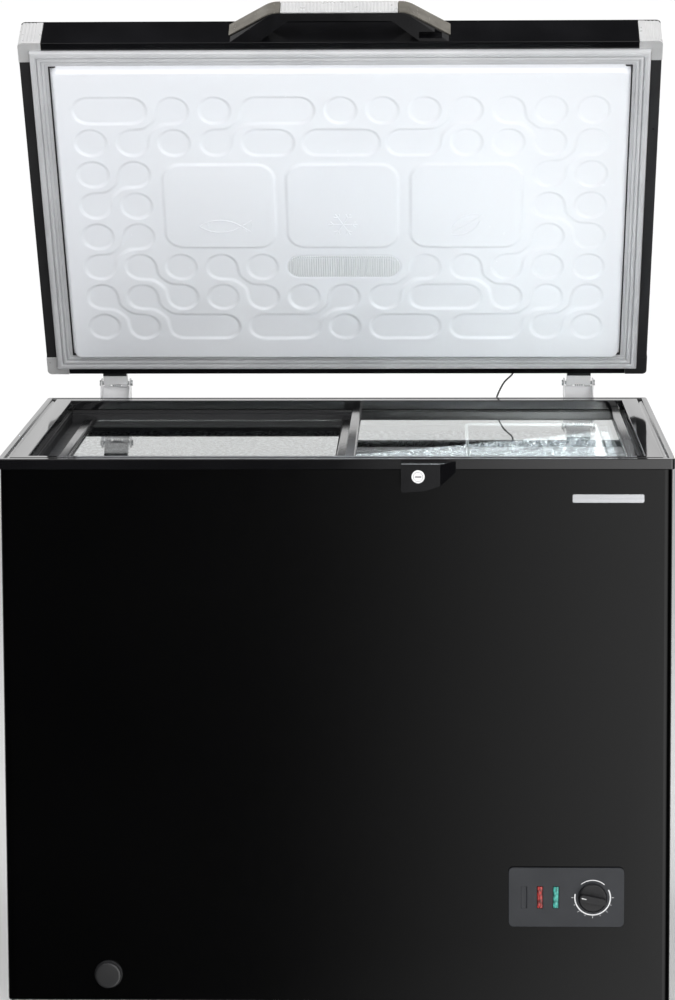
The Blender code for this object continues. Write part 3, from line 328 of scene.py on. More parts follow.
def gasket_grey():
    made = Surface("gasket_grey", (0.52, 0.525, 0.54), 0.36)
    made.tint(made.noise(9.0, 4.0), (0.47, 0.475, 0.49), (0.56, 0.565, 0.58))
    made.rough(made.noise(60.0, 4.0), 0.28, 0.44)
    return made.bump(made.noise(300.0, 3.0), 0.06, 0.0004)


def lens_grey():
    """Frosted lamp lens with fine ribs across its length."""
    made = Surface("lens_grey", (0.70, 0.72, 0.74), 0.3)
    made.tint(made.waves(90.0), (0.66, 0.68, 0.70), (0.74, 0.76, 0.78), 0.2, 0.8)
    return made.bump(made.waves(90.0), 0.3, 0.0008)


def lamp_colour(name, dark, bright):
    """A jewel lens whose colour holds painted glints: a few bright beads along its height, and darker ends."""
    made = Surface(name, bright, 0.18, Coat_Weight=0.5)
    # painted glints: the colour is brightest at the middle of each bead
    made.tint(made.cells(170.0, (1.6, 1, 1)), bright, dark, 0.15, 0.75)
    return made.bump(made.cells(170.0, (1.6, 1, 1)), 0.3, 0.0010)


def red_lens():
    return lamp_colour("red_lens", (0.09, 0.006, 0.005), (0.50, 0.045, 0.038))


def green_lens():
    return lamp_colour("green_lens", (0.004, 0.10, 0.085), (0.09, 0.55, 0.46))


def print_white():
    made = Surface("print_white", (0.86, 0.86, 0.87), 0.5)
    made.tint(made.noise(400.0), (0.80, 0.80, 0.81), (0.9, 0.9, 0.91))
    return made.bump(made.noise(900.0), 0.05, 0.0002)


def badge_silver():
    made = Surface("badge_silver", (0.6, 0.61, 0.63), 0.24, 1.0)
    made.tint(made.noise(12.0, 4.0, (0.2, 1, 8)), (0.5, 0.51, 0.53), (0.7, 0.71, 0.73))
    made.rough(made.noise(300.0, 3.0, (0.05, 1, 1)), 0.18, 0.34)
    return made.bump(made.noise(900.0, 2.0, (0.03, 1, 1)), 0.08, 0.0003)


def clear_glass():
    made = Surface("clear_glass", (0.90, 0.97, 0.96), 0.02, Transmission_Weight=1.0, IOR=1.5)
    made.tint(made.noise(5.0), (0.88, 0.96, 0.95), (0.93, 0.985, 0.98))
    return made.rough(made.noise(30.0, 5.0), 0.0, 0.03)


def clear_sleeve():
    made = Surface("clear_sleeve", (0.82, 0.83, 0.84), 0.25, Transmission_Weight=0.6, IOR=1.4)
    made.tint(made.noise(200.0), (0.76, 0.77, 0.78), (0.88, 0.89, 0.9))
    return made.bump(made.noise(600.0), 0.1, 0.0003)


def foam_yellow():
    made = Surface("foam_yellow", (0.75, 0.62, 0.4), 0.9)
    made.tint(made.noise(60.0, 6.0), (0.62, 0.5, 0.3), (0.84, 0.72, 0.5))
    return made.bump(made.cells(400.0), 0.5, 0.0015)


def foam_painted_shade():
    """Foam painted dark where it shows beside the black frames: painted shade for the gap it lies in."""
    made = Surface("foam_painted_shade", (0.02, 0.018, 0.015), 0.8)
    made.tint(made.noise(60.0, 6.0), (0.014, 0.013, 0.011), (0.03, 0.027, 0.022))
    return made.bump(made.cells(400.0), 0.4, 0.0010)


def black_rubber():
    made = Surface("black_rubber", (0.012, 0.012, 0.012), 0.55)
    made.tint(made.noise(60.0), (0.008, 0.008, 0.008), (0.02, 0.02, 0.02))
    return made.bump(made.noise(900.0), 0.15, 0.0004)


def floor_grey():
    made = Surface("floor_grey", (0.9, 0.9, 0.9), 0.7)
    made.tint(made.noise(1.5, 4.0), (0.89, 0.89, 0.89), (0.91, 0.91, 0.91))
    return made.bump(made.noise(40.0, 4.0), 0.02, 0.001)


FINISHES = {
    maker.__name__: maker().material
    for maker in (
        case_paint, gloss_black, rim_gloss, satin_black, dark_grey, panel_grey, silver,
        bronze_grey, chrome, zinc, stucco_aluminium, copper, white_liner, white_wire, gasket_grey,
        lens_grey, red_lens, green_lens, print_white, badge_silver, clear_glass, clear_sleeve,
        foam_yellow, foam_painted_shade, black_rubber, floor_grey,
    )
}


# ------------ helpers
def mesh_from(bm, name):
    bmesh.ops.recalc_face_normals(bm, faces=bm.faces)
    mesh = bpy.data.meshes.new(name)
    bm.to_mesh(mesh)
    bm.free()
    return mesh


def piece(name, mesh, finish, body, smooth=35):
    """A new visible piece that rides on a body; the mesh is in the frame's coordinates."""
    obj = bpy.data.objects.new(name, mesh)
    bpy.context.scene.collection.objects.link(obj)
    if not mesh.materials:
        mesh.materials.append(FINISHES[finish])
    mesh.shade_smooth()
    if smooth:
        mesh.set_sharp_from_angle(angle=math.radians(smooth))
    if body:
        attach(obj, body)
    return obj


def rounded(obj, width, segments=2, angle=30):
    """Rounds the piece's edges and keeps its flat faces flat in shade."""
    obj.data.shade_smooth()
    bevel = obj.modifiers.new("rounded_edges", "BEVEL")
    bevel.width = width
    bevel.segments = segments
    bevel.limit_method = "ANGLE"
    bevel.angle_limit = math.radians(angle)
    normals = obj.modifiers.new("even_normals", "WEIGHTED_NORMAL")
    normals.keep_sharp = False
    return obj


def node_mesh(node, name):
    """A clean copy of a CAD node's mesh: shared corners joined, flat faces whole."""
    bm = bmesh.new()
    bm.from_mesh(frame["nodes"][node].data)
    bmesh.ops.remove_doubles(bm, verts=bm.verts, dist=0.000002)
    bmesh.ops.dissolve_limit(
        bm, angle_limit=math.radians(0.6), verts=bm.verts, edges=bm.edges,
    )
    return mesh_from(bm, name)


def refined(node, finish, width=0.0006, segments=2):
    """The CAD node with rounded edges and its real finish."""
    body = next(b for b, names in frame["record"]["behaviour"]["bodies"].items() if node in names)
    name = node + "_finished"
    obj = piece(name, node_mesh(node, name), finish, body)
    rounded(obj, width, segments)
    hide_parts(node)
    return obj


def on_lid(name, mesh, finish, smooth=35):
    """A piece modelled with the lid shut, turned to the open lid."""
    mesh.transform(CLOSED_TO_REST)
    return piece(name, mesh, finish, "lid", smooth)


def prism(name, loop, low, high, axis="z"):
    """An outline of (u, v) points extruded from low to high along an axis."""
    order = {"x": (2, 0, 1), "y": (0, 2, 1), "z": (0, 1, 2)}[axis]
    bm = bmesh.new()
    rings = []
    for height in (low, high):
        ring = []
        for u, v in loop:
            local = (u, v, height)
            ring.append(bm.verts.new(tuple(local[i] for i in order)))
        rings.append(ring)
    bm.faces.new(rings[0])
    bm.faces.new(rings[1])
    for i in range(len(loop)):
        j = (i + 1) % len(loop)
        bm.faces.new((rings[0][i], rings[0][j], rings[1][j], rings[1][i]))
    return mesh_from(bm, name)


def arc(centre, radius, start, end, steps):
    """Points on an arc, angles in degrees."""
    return [
        (centre[0] + radius * math.cos(math.radians(start + (end - start) * k / steps)),
         centre[1] + radius * math.sin(math.radians(start + (end - start) * k / steps)))
        for k in range(steps + 1)
    ]


def round_box(low, high, radius, steps=6):
    """A rectangle with round corners, as a closed outline."""
    (x0, y0), (x1, y1) = low, high
    points = []
    for centre, start in (
        ((x1 - radius, y1 - radius), 0), ((x0 + radius, y1 - radius), 90),
        ((x0 + radius, y0 + radius), 180), ((x1 - radius, y0 + radius), 270),
    ):
        points += arc(centre, radius, start, start + 90, steps)
    return points


def tube(name, points, radius, sides=10, closed=False):
    """A round tube along the points, as a mesh."""
    curve = bpy.data.curves.new(name, "CURVE")
    curve.dimensions = "3D"
    curve.bevel_depth = radius
    curve.bevel_resolution = max(0, sides // 2 - 2)
    curve.use_fill_caps = True
    spline = curve.splines.new("POLY")
    spline.points.add(len(points) - 1)
    for target, point in zip(spline.points, points):
        target.co = (*point, 1.0)
    spline.use_cyclic_u = closed
    guide = bpy.data.objects.new(name, curve)
    bpy.context.scene.collection.objects.link(guide)
    bpy.context.view_layer.update()
    solid = guide.evaluated_get(bpy.context.evaluated_depsgraph_get())
    mesh = bpy.data.meshes.new_from_object(solid)
    bpy.data.objects.remove(guide, do_unlink=True)
    bm = bmesh.new()
    bm.from_mesh(mesh)
    bmesh.ops.remove_doubles(bm, verts=bm.verts, dist=0.00001)
    bpy.data.meshes.remove(mesh)
    return mesh_from(bm, name)


def turned(name, profile, matrix, steps=32):
    """A profile of (radius, height) points turned about Z, then put in place by the matrix."""
    bm = bmesh.new()
    verts = [bm.verts.new((radius, 0, height)) for radius, height in profile]
    edges = [bm.edges.new(pair) for pair in zip(verts, verts[1:])]
    bmesh.ops.spin(
        bm, geom=verts + edges, axis=(0, 0, 1), cent=(0, 0, 0), angle=2 * math.pi, steps=steps,
        use_merge=True,
    )
    bmesh.ops.remove_doubles(bm, verts=bm.verts, dist=0.000001)
    mesh = mesh_from(bm, name)
    mesh.transform(matrix)
    return mesh


def joined(name, meshes):
    """Several meshes as one."""
    bm = bmesh.new()
    for mesh in meshes:
        bm.from_mesh(mesh)
        bpy.data.meshes.remove(mesh)
    return mesh_from(bm, name)


def facing(point, direction):
    """A matrix that puts local Z along a direction at a point."""
    turn = Vector((0, 0, 1)).rotation_difference(Vector(direction)).to_matrix().to_4x4()
    return Matrix.Translation(Vector(point)) @ turn


def screw_mesh(name, point, direction, radius):
    """A pan head with a cross on its face."""
    rise, sunk = radius * 0.45, -0.0004
    profile = [(0, sunk), (radius, sunk), (radius, 0)]
    profile += [
        (radius * math.cos(math.radians(a)), rise * math.sin(math.radians(a)))
        for a in (0, 25, 50, 70)
    ]
    profile += [(radius * 0.2, rise), (0, rise)]
    head = turned(name, profile, facing(point, direction), 20)
    bars = []
    for turn in (0, 90):
        bar = prism("bar", round_box(
            (-radius * 0.62, -radius * 0.11), (radius * 0.62, radius * 0.11), radius * 0.1, 2,
        ), rise * 0.93, rise * 1.06)
        bar.transform(facing(point, direction) @ Matrix.Rotation(math.radians(turn), 4, "Z"))
        bars.append(bar)
    return joined(name, [head] + bars)


# ------------ lid
def smooth_step(t):
    t = np.clip(t, 0.0, 1.0)
    return t * t * (3 - 2 * t)


def segment_distance(x, y, a, b):
    """Distance of each grid point from the segment a-b."""
    along = np.array(b) - np.array(a)
    length = max(float(along @ along), 1e-12)
    t = np.clip(((x - a[0]) * along[0] + (y - a[1]) * along[1]) / length, 0, 1)
    return np.hypot(x - a[0] - t * along[0], y - a[1] - t * along[1])


def soft_min(a, b, reach):
    h = np.clip(0.5 + 0.5 * (b - a) / reach, 0, 1)
    return b + (a - b) * h - reach * h * (1 - h)


def box_distance(x, y, half_x, half_y, radius):
    """Signed distance from a rectangle with round corners, centred at the origin."""
    dx = np.abs(x) - half_x + radius
    dy = np.abs(y) - half_y + radius
    outside = np.hypot(np.maximum(dx, 0), np.maximum(dy, 0))
    return outside + np.minimum(np.maximum(dx, dy), 0) - radius


def cell_place(row, column):
    return (
        (column - MIDDLE_COLUMN) * COLUMN_PITCH,
        LID_REAR - (FIRST_ROW - ROW_PITCH * (row - 1)),
    )


def cell_distance(x, y):
    """Signed distance from the nearest sunk cell of the liner's pattern."""
    nearest = np.full(x.shape, FAR_AWAY)
    for row, cells in CELLS.items():
        for first, last in cells:
            here = segment_distance(x, y, cell_place(row, first), cell_place(row, last))
            nearest = np.minimum(nearest, here - CELL_RADIUS)
    for row, upper, lower in LINKS:
        a, b = cell_place(row, upper), cell_place(row + 1, lower)
        one = np.hypot(x - a[0], y - a[1]) - CELL_RADIUS
        other = np.hypot(x - b[0], y - b[1]) - CELL_RADIUS
        neck = segment_distance(x, y, a, b) - CELL_RADIUS * NECK_SHARE
        whole = soft_min(soft_min(one, neck, NECK_BLEND), other, NECK_BLEND)
        nearest = np.minimum(nearest, whole)
    return nearest


def liner_height(x, y):
    """Height of the liner's visible face with the lid shut."""
    middle = (LID_FRONT + FIELD_FRONT + LID_REAR - FIELD_REAR) / 2
    half_y = (LID_REAR - FIELD_REAR - LID_FRONT - FIELD_FRONT) / 2
    foot = -box_distance(x, y - middle, FIELD_HALF, half_y, FIELD_CORNER)
    climb = np.clip(foot / (FIELD_WALL + FIELD_ROUND), 0, 1)
    side = np.sin(climb * math.pi / 2) ** FIELD_EASE
    height = FLANGE_Z - (FLANGE_Z - LINER_LOW.z - SHEET_LIFT) * side
    height += CELL_DEPTH * smooth_step(-cell_distance(x, y) / CELL_WALL)
    for centre in LABELS_X:
        label = box_distance(x - centre, y - LID_REAR + LABEL_S, *LABEL_SIZE, LABEL_ROUND)
        height -= LABEL_RISE * smooth_step(-label / LABEL_WALL)
    well = box_distance(
        x, y - LENS_Y, LENS_HIGH.x + WELL_MARGIN, LENS_HALF + WELL_MARGIN, WELL_CORNER,
    )
    height += WELL_DEPTH * smooth_step(-well / WELL_WALL)
    return np.where(foot < 0, FLANGE_Z, height)


def lid_liner():
    """The white vacuum-formed liner: sunk round cells, their necks and three raised fields."""
    step = LINER_STEP
    xs = np.arange(LINER_LOW.x, LINER_HIGH.x + step / 2, step)
    ys = np.arange(LINER_LOW.y, LINER_HIGH.y + step / 2, step)
    xs[-1], ys[-1] = LINER_HIGH.x, LINER_HIGH.y
    x, y = np.meshgrid(xs, ys)
    z = liner_height(x, y)
    wide, deep = len(xs), len(ys)
    points = np.stack([x, y, z], -1).reshape(-1, 3)
    corner = (np.arange(deep - 1)[:, None] * wide + np.arange(wide - 1)[None, :]).ravel()
    quads = np.stack([corner, corner + wide, corner + wide + 1, corner + 1], -1)
    middle = points[quads].mean(1)
    hole = box_distance(
        middle[:, 0], middle[:, 1] - LENS_Y, LENS_HIGH.x - LENS_LAP,
        LENS_HALF - LENS_LAP, LENS_HOLE_CORNER,
    ) < 0
    mesh = bpy.data.meshes.new("liner_sheet")
    mesh.from_pydata(points.tolist(), [], quads[~hole].tolist())
    mesh.update()
    obj = on_lid("liner_sheet", mesh, "white_liner", 0)
    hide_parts("lid_liner")


def lid_core():
    """The foam core, which stays clear of the liner's sunk cells."""
    edge, corner, below, above = 0.0045, 0.006, 0.0032, 0.0015
    slab = prism("slab", round_box(
        (-LID_HALF + edge, LID_FRONT + edge), (LID_HALF - edge, LID_REAR - edge), corner, 3,
    ), LID_Z + below, SKIN_HIGH.z - above)
    obj = on_lid("lid_core", slab, "foam_yellow")
    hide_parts("lid_foam")


def mitred_frame(name, profile, side, end):
    """A profile of (inset, height) points carried round the lid with mitred corners."""
    bm = bmesh.new()
    rings = []
    for inset, height in profile:
        x = LID_HALF - side - inset
        y0, y1 = LID_FRONT + end + inset, LID_REAR - end - inset
        rings.append([bm.verts.new(c) for c in (
            (-x, y0, height), (x, y0, height), (x, y1, height), (-x, y1, height),
        )])
    for ring, following in zip(rings, rings[1:] + rings[:1]):
        for i in range(4):
            j = (i + 1) % 4
            bm.faces.new((ring[i], ring[j], following[j], following[i]))
    return mesh_from(bm, name)


def lid_gasket():
    """The soft seal: a hollow bead, two folds and a flat web, mitred at the corners."""
    low, top = GASKET_LOW.z, LID_Z + 0.0009
    profile = [
        (0.0000, top), (0.0004, low + 0.0034), (0.0016, low + 0.0012), (0.0034, low + 0.0002),
        (0.0062, low), (0.0086, low + 0.0005), (0.0096, low + 0.0022), (0.0101, low + 0.0042),
        (0.0108, low + 0.0024), (0.0120, low + 0.0010), (0.0138, low + 0.0006),
        (0.0154, low + 0.0012), (0.0163, low + 0.0030), (0.0168, low + 0.0046),
        (0.0176, low + 0.0034), (0.0196, low + 0.0030), (0.0212, low + 0.0036),
        (0.0219, low + 0.0056), (0.0236, low + 0.0058), (0.0262, low + 0.0060), (0.0262, top),
    ]
    mesh = mitred_frame("gasket_bead", profile, GASKET_SIDE, GASKET_END)
    obj = on_lid("gasket_bead", mesh, "gasket_grey", 50)
    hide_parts("lid_gasket")


def gap_shadow_lip():
    """A thin dark lip at the seal's inner edge, in the gap beside the raised field: a painted shadow for that gap.
    """
    low, top = GASKET_LOW.z, LID_Z + 0.0009
    profile = [
        (0.0266, top), (0.0266, low + 0.0050), (0.0271, low + 0.0042), (0.0278, low + 0.0042),
        (0.0283, low + 0.0050), (0.0283, top),
    ]
    mesh = mitred_frame("gap_shadow_lip", profile, GASKET_SIDE, GASKET_END)
    on_lid("gap_shadow_lip", mesh, "black_rubber", 50)


def hinge_leaves():
    """Bright leaves between the hinges' ears and arms, and the dark blocks at the lid."""
    for side in ("left", "right"):
        low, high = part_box("hinge_base_" + side)
        arm_low, arm_high = closed_box("hinge_arm_" + side)
        middle = (low.x + high.x) / 2
        half = (arm_high.x - arm_low.x) / 2 - 0.0001
        leaf = prism("leaf", round_box(
            (middle - half, LID_REAR + 0.0004), (middle + half, PIVOT.y - 0.0042), 0.002, 3,
        ), arm_low.z - 0.0018, arm_low.z - 0.0003)
        obj = on_lid("hinge_leaf_" + side, leaf, "chrome")
        rounded(obj, 0.0004)
        left, right = middle - half + 0.0005, middle + half - 0.0005
        front, back = LID_REAR + 0.0002, LID_REAR + 0.0046
        block = prism("block", [
            (left, front), (right, front), (right, back), (left, back),
        ], arm_low.z - 0.0030, arm_low.z - 0.0018)
        on_lid("hinge_block_" + side, block, "satin_black")
        plate = prism("plate", round_box(
            (low.x + 0.0002, CASE_HIGH.z - 0.004), (high.x - 0.0002, PIVOT.z - 0.0056), 0.003, 4,
        ), high.y - 0.0014, high.y - 0.0002, "y")
        obj = piece("hinge_plate_" + side, plate, "chrome", "cabinet")
        rounded(obj, 0.0004)


def ribbed(path, pitch, depth, start, end):
    """The path with fine ribs from start to end; a positive depth cuts them to its left."""
    points, total = [], 0.0
    for k, point in enumerate(path):
        before, after = Vector(path[max(k - 1, 0)]), Vector(path[min(k + 1, len(path) - 1)])
        along = (after - before).normalized()
        if k:
            total += (Vector(point) - Vector(path[k - 1])).length
        right = Vector((along.y, -along.x))
        rib = 0.0
        if start <= total <= end:
            rib = depth * (0.5 + 0.5 * math.cos(2 * math.pi * (total - start) / pitch)) ** 0.8
        points.append(tuple(Vector(point) - right * rib))
    return points


def path_length(path):
    return sum((Vector(b) - Vector(a)).length for a, b in zip(path, path[1:]))


def sampled(path, step):
    """The path with a point at least every step."""
    points = [path[0]]
    for a, b in zip(path, path[1:]):
        count = max(1, round((Vector(b) - Vector(a)).length / step))
        for k in range(1, count + 1):
            points.append(tuple(Vector(a).lerp(Vector(b), k / count)))
    return points


def corner_caps():
    """The four ribbed caps over the corners of the lid's edge."""
    outer_radius, wall = 0.007, 0.0030
    pitch, depth, ribbed_half = 0.0056, 0.0009, 0.0224
    sole_reach, sole_inside = 0.016, 0.014
    for node, sign_x, sign_y in (
        ("lid_corner_front_left", -1, -1), ("lid_corner_front_right", 1, -1),
        ("lid_corner_rear_left", -1, 1), ("lid_corner_rear_right", 1, 1),
    ):
        edge_y = LID_FRONT if sign_y < 0 else LID_REAR
        outer = [(CAP_LEG, 0.0)] + [
            (outer_radius - outer_radius * math.sin(math.radians(a)),
             outer_radius - outer_radius * math.cos(math.radians(a))) for a in range(0, 91, 10)
        ] + [(0.0, CAP_LEG)]
        path = sampled(outer, 0.0007)
        inner = [(wall, CAP_LEG), (wall, wall), (CAP_LEG, wall)]
        middle = path_length(path) / 2
        ribs = ribbed(path, pitch, -depth, middle - ribbed_half, middle + ribbed_half)
        skirt_loop = ribs + inner
        sole_loop = outer + [
            (sole_reach, CAP_LEG), (sole_reach, sole_inside), (CAP_LEG, sole_inside),
        ]

        def placed(loop):
            return [
                (sign_x * (LID_HALF - u), edge_y - sign_y * v) for u, v in loop
            ]

        mesh = joined("cap", [
            prism("skirt", placed(skirt_loop), LID_Z + 0.0022, SKIN_HIGH.z - 0.0018),
            prism("sole", placed(sole_loop), CAP_LOW.z, LID_Z + 0.0024),
        ])
        slot = SLOTS[node]
        finish = "silver" if slot == "silver_plastic" else "dark_grey"
        obj = on_lid(node + "_ribbed", mesh, finish, 40)
        rounded(obj, 0.0003, 2, 50)
        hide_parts(node)


def filleted(points, radius, steps=6):
    """An open path with its inner corners rounded."""
    path = [points[0]]
    for before, corner, after in zip(points, points[1:], points[2:]):
        corner = Vector(corner)
        to_before = (Vector(before) - corner).normalized()
        to_after = (Vector(after) - corner).normalized()
        half = to_before.angle(to_after) / 2
        reach = radius / math.tan(half)
        centre = corner + (to_before + to_after).normalized() * (radius / math.sin(half))
        start, end = corner + to_before * reach - centre, corner + to_after * reach - centre
        turn = start.angle_signed(end)
        for k in range(steps + 1):
            step = Matrix.Rotation(-turn * k / steps, 2)
            path.append(tuple(centre + step @ start))
    return path + [points[-1]]


def arch(base, flat, reach, radius):
    """The handle's arch in plan, from its left foot to its right one."""
    path = [(-base, 0), (-flat, -reach), (flat, -reach), (base, 0)]
    return [(x, LID_FRONT + y) for x, y in filleted(path, radius)]


def handle_trim():
    """The bright strip round the handle: fine ribs in the middle, dark sloping ends."""
    reach = LID_FRONT - TRIM_LOW.y
    base, flat, ribs = 0.163, 0.100, 0.086  # half widths of the feet, the front and the ribs
    pitch, depth, bead_height, lip_height = 0.0052, 0.0012, 0.0026, 0.0012
    outer = sampled(arch(base, flat, reach, 0.036), 0.0006)
    inner = sampled(arch(base - 0.0024, flat - 0.0012, reach - 0.002, 0.034), 0.0012)
    for name, finish, keep in (
        ("handle_trim_middle", "silver", lambda x: abs(x) <= ribs),
        ("handle_trim_left", "bronze_grey", lambda x: x <= -ribs),
        ("handle_trim_right", "bronze_grey", lambda x: x >= ribs),
    ):
        out = [p for p in outer if keep(p[0])]
        back = [p for p in inner if keep(p[0])][::-1]
        body = out
        if finish == "silver":
            body = ribbed(out, pitch, depth, 0.0, path_length(out))
        low, top = TRIM_LOW.z, TRIM_HIGH.z
        bead = prism("bead", out + back, low, low + bead_height)
        wall = prism("wall", body + back, low + bead_height, top - lip_height)
        lip = prism("lip", out + back, top - lip_height, top)
        obj = on_lid(name, joined(name, [bead, wall, lip]), finish, 30)
        if finish == "silver":
            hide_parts("handle_trim")


def lamp_lens():
    """The lens with fine ribs across it."""
    low, high = LENS_LOW, LENS_HIGH
    radius = LENS_HALF - 0.0003
    base = prism("base", round_box((low.x, low.y), (high.x, high.y), radius, 12),
                 low.z + 0.0012, high.z)
    ribs = []
    count, plain_end = 44, 0.007
    foot_z, crest_z = low.z + 0.0013, low.z + 0.0006
    pitch = (high.x - low.x - 2 * plain_end) / count
    for k in range(count):
        x = low.x + plain_end + pitch * (k + 0.5)
        edge = max(0.0, abs(x) - (high.x - radius - 0.001))
        half = math.sqrt(max((radius - 0.003) ** 2 - edge ** 2, 0.00002))
        rib = prism("rib", [
            (x - pitch * 0.40, foot_z), (x - pitch * 0.2, crest_z),
            (x + pitch * 0.2, crest_z), (x + pitch * 0.40, foot_z),
        ], LENS_Y - half, LENS_Y + half, "y")
        ribs.append(rib)
    obj = on_lid("lamp_lens_ribbed", joined("lens", [base] + ribs), "lens_grey", 30)
    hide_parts("lamp_lens")


def pictograms():
    """Small raised signs on the label fields: a fish, a snowflake and a leaf, in fine lines."""
    face = LINER_LOW.z + SHEET_LIFT - LABEL_RISE
    row = LID_REAR - 0.3064
    grow = 1.4  # the signs are drawn smaller than they stand
    lines = []

    def line(points, centre, width=0.0009):
        lines.append(tube("line", [
            (centre + grow * u, row - grow * v, face + 0.0002) for u, v in points
        ], width, 8))

    fish = LABELS_X[0]
    line(arc((0, -0.030), 0.036, 50, 130, 14), fish)
    line(arc((0, 0.0256), 0.036, -130, -50, 14), fish)
    line([(0.0232, -0.0022), (0.034, 0.006), (0.034, -0.0105), (0.0232, -0.0022)], fish)
    line(arc((-0.013, 0.0), 0.0012, 0, 360, 8), fish)
    flake = LABELS_X[1]
    for turn in range(0, 180, 60):
        dx, dy = math.cos(math.radians(turn)), math.sin(math.radians(turn))
        line([(-0.016 * dx, -0.016 * dy), (0.016 * dx, 0.016 * dy)], flake)
    for turn in range(0, 360, 60):
        dx, dy = math.cos(math.radians(turn)), math.sin(math.radians(turn))
        for side in (-1, 1):
            line([
                (0.010 * dx, 0.010 * dy),
                (0.0135 * dx - side * 0.0035 * dy, 0.0135 * dy + side * 0.0035 * dx),
            ], flake)
    leaf = LABELS_X[2]
    line(arc((0.010, -0.012), 0.026, 75, 165, 12), leaf)
    line(arc((-0.010, 0.012), 0.026, -105, -15, 12), leaf)
    line([(-0.0152, -0.0105), (0.0165, 0.0115)], leaf)
    on_lid("liner_signs", joined("signs", lines), "white_liner", 60)


# ------------ cabinet
def basket_wires():
    """Dipped wire: four frames and the U-shaped wires that hang from the top one."""
    thick, thin = 0.0026, 0.0016
    side_gap, taper, clear = 0.003, 0.006, 0.0004
    inset, bend, lift = 0.0012, 0.010, 0.0015
    low, high = BASKET_LOW, BASKET_HIGH
    wires = []

    def at(height):
        """The basket's edges at a height: it narrows downwards."""
        share = (high.z - height) / (high.z - low.z)
        slack = side_gap + taper * share
        return low.x + slack, low.y + slack, high.x - slack, high.y - slack

    top = high.z - thick - clear
    for height, radius in ((top, thick), (top - 0.036, thin), (top - 0.098, thin),
                           (low.z + thick + clear, thin)):
        x0, y0, x1, y1 = at(height)
        loop = round_box((x0, y0), (x1, y1), 0.012, 5)
        wires.append(tube("ring", [(x, y, height) for x, y in loop], radius, 8, True))
    bottom = low.z + thin + 0.0002
    for across, count in (("y", 4), ("x", 9)):
        for k in range(count):
            share = (k + 0.5) / count
            x0, y0, x1, y1 = at(top)
            u0, v0, u1, v1 = at(bottom)
            if across == "y":
                a, b = x0 + (x1 - x0) * share, u0 + (u1 - u0) * share
                near_top, near, far, far_top = y0, v0, v1, y1
            else:
                a, b = y0 + (y1 - y0) * share, v0 + (v1 - v0) * share
                near_top, near, far, far_top = x0, u0, u1, x1
            path = [
                (a, near_top + inset, top), (b, near + inset, bottom + bend),
                (b, near + bend, bottom + lift), (b, far - bend, bottom + lift),
                (b, far - inset, bottom + bend), (a, far_top - inset, top),
            ]
            if across == "x":
                path = [(v, u, height) for u, v, height in path]
            wires.append(tube("wire", path, thin, 8))
    mesh = joined("basket_wires", wires)
    obj = piece("basket_wires", mesh, "white_wire", "basket", 60)
    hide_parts("wire_basket")


def panel_marks():
    """White arcs and ticks round the knob."""
    centre = KNOB_CENTRE
    arc_radius, tick_foot, tick_tip, long_tick = 0.0250, 0.0268, 0.0286, 0.0012
    front = PANEL_LOW.y - 0.00012
    back = PANEL_LOW.y + 0.0004
    marks = []
    for start, end, half in ((48, 130, 0.0006), (168, 387, 0.0009)):
        outer = arc(centre, arc_radius + half, start, end, 36)
        inner = arc(centre, arc_radius - half, end, start, 36)
        marks.append(prism("arc", outer + inner, front, back, "y"))
    for k in range(9):
        angle = math.radians(180 + k * 22.5)
        u, v = math.cos(angle), math.sin(angle)
        inner, outer, half = tick_foot, tick_tip + long_tick * (k % 2 == 0), 0.0003
        marks.append(prism("tick", [
            (centre[0] + inner * u - half * v, centre[1] + inner * v + half * u),
            (centre[0] + outer * u - half * v, centre[1] + outer * v + half * u),
            (centre[0] + outer * u + half * v, centre[1] + outer * v - half * u),
            (centre[0] + inner * u + half * v, centre[1] + inner * v - half * u),
        ], front, back, "y"))
    piece("panel_marks", joined("marks", marks), "print_white", "cabinet", 30)


def badge():
    """A plain brushed bar at the top right of the front."""
    face = CASE_LOW.y
    low, high = (0.3300, 0.7330), (0.4300, 0.7450)
    bar = prism("badge_bar", round_box(low, high, 0.0022, 4), face - 0.0011, face - 0.0001, "y")
    obj = piece("badge_bar", bar, "badge_silver", "cabinet")
    rounded(obj, 0.0003, 2)


def screws():
    """Screw heads on the side grille, the rear cover and the rear panel."""
    margin = 0.008
    heads = []
    low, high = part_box("side_grille")
    for y in (low.y + margin, high.y - margin):
        for z in (low.z + margin, high.z - margin):
            heads.append(screw_mesh("screw", (high.x - 0.0004, y, z), (1, 0, 0), 0.0016))
    piece("side_screws", joined("side_screws", heads), "zinc", "cabinet", 40)
    heads = []
    low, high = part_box("rear_cover")
    for x in (low.x + margin, high.x - margin):
        for z in (low.z + margin, high.z - margin):
            heads.append(screw_mesh("screw", (x, high.y + 0.0001, z), (0, 1, 0), 0.0036))
    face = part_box("rear_panel")[1].y
    for x in (-0.455, -0.23, 0.0, 0.23, 0.455):
        for z in (0.036, 0.768):
            heads.append(screw_mesh("screw", (x, face + 0.0001, z), (0, 1, 0), 0.0034))
    piece("rear_screws", joined("rear_screws", heads), "zinc", "cabinet", 40)


def smooth_path(points, count):
    """Catmull-Rom points through the given ones."""
    points = [Vector(p) for p in points]
    ends = [points[0] * 2 - points[1]] + points + [points[-1] * 2 - points[-2]]
    path = []
    for a, b, c, d in zip(ends, ends[1:], ends[2:], ends[3:]):
        for k in range(count):
            t = k / count
            path.append(0.5 * (
                2 * b + (c - a) * t + (2 * a - 5 * b + 4 * c - d) * t ** 2
                + (3 * b - a - 3 * c + d) * t ** 3
            ))
    return path + [points[-1]]


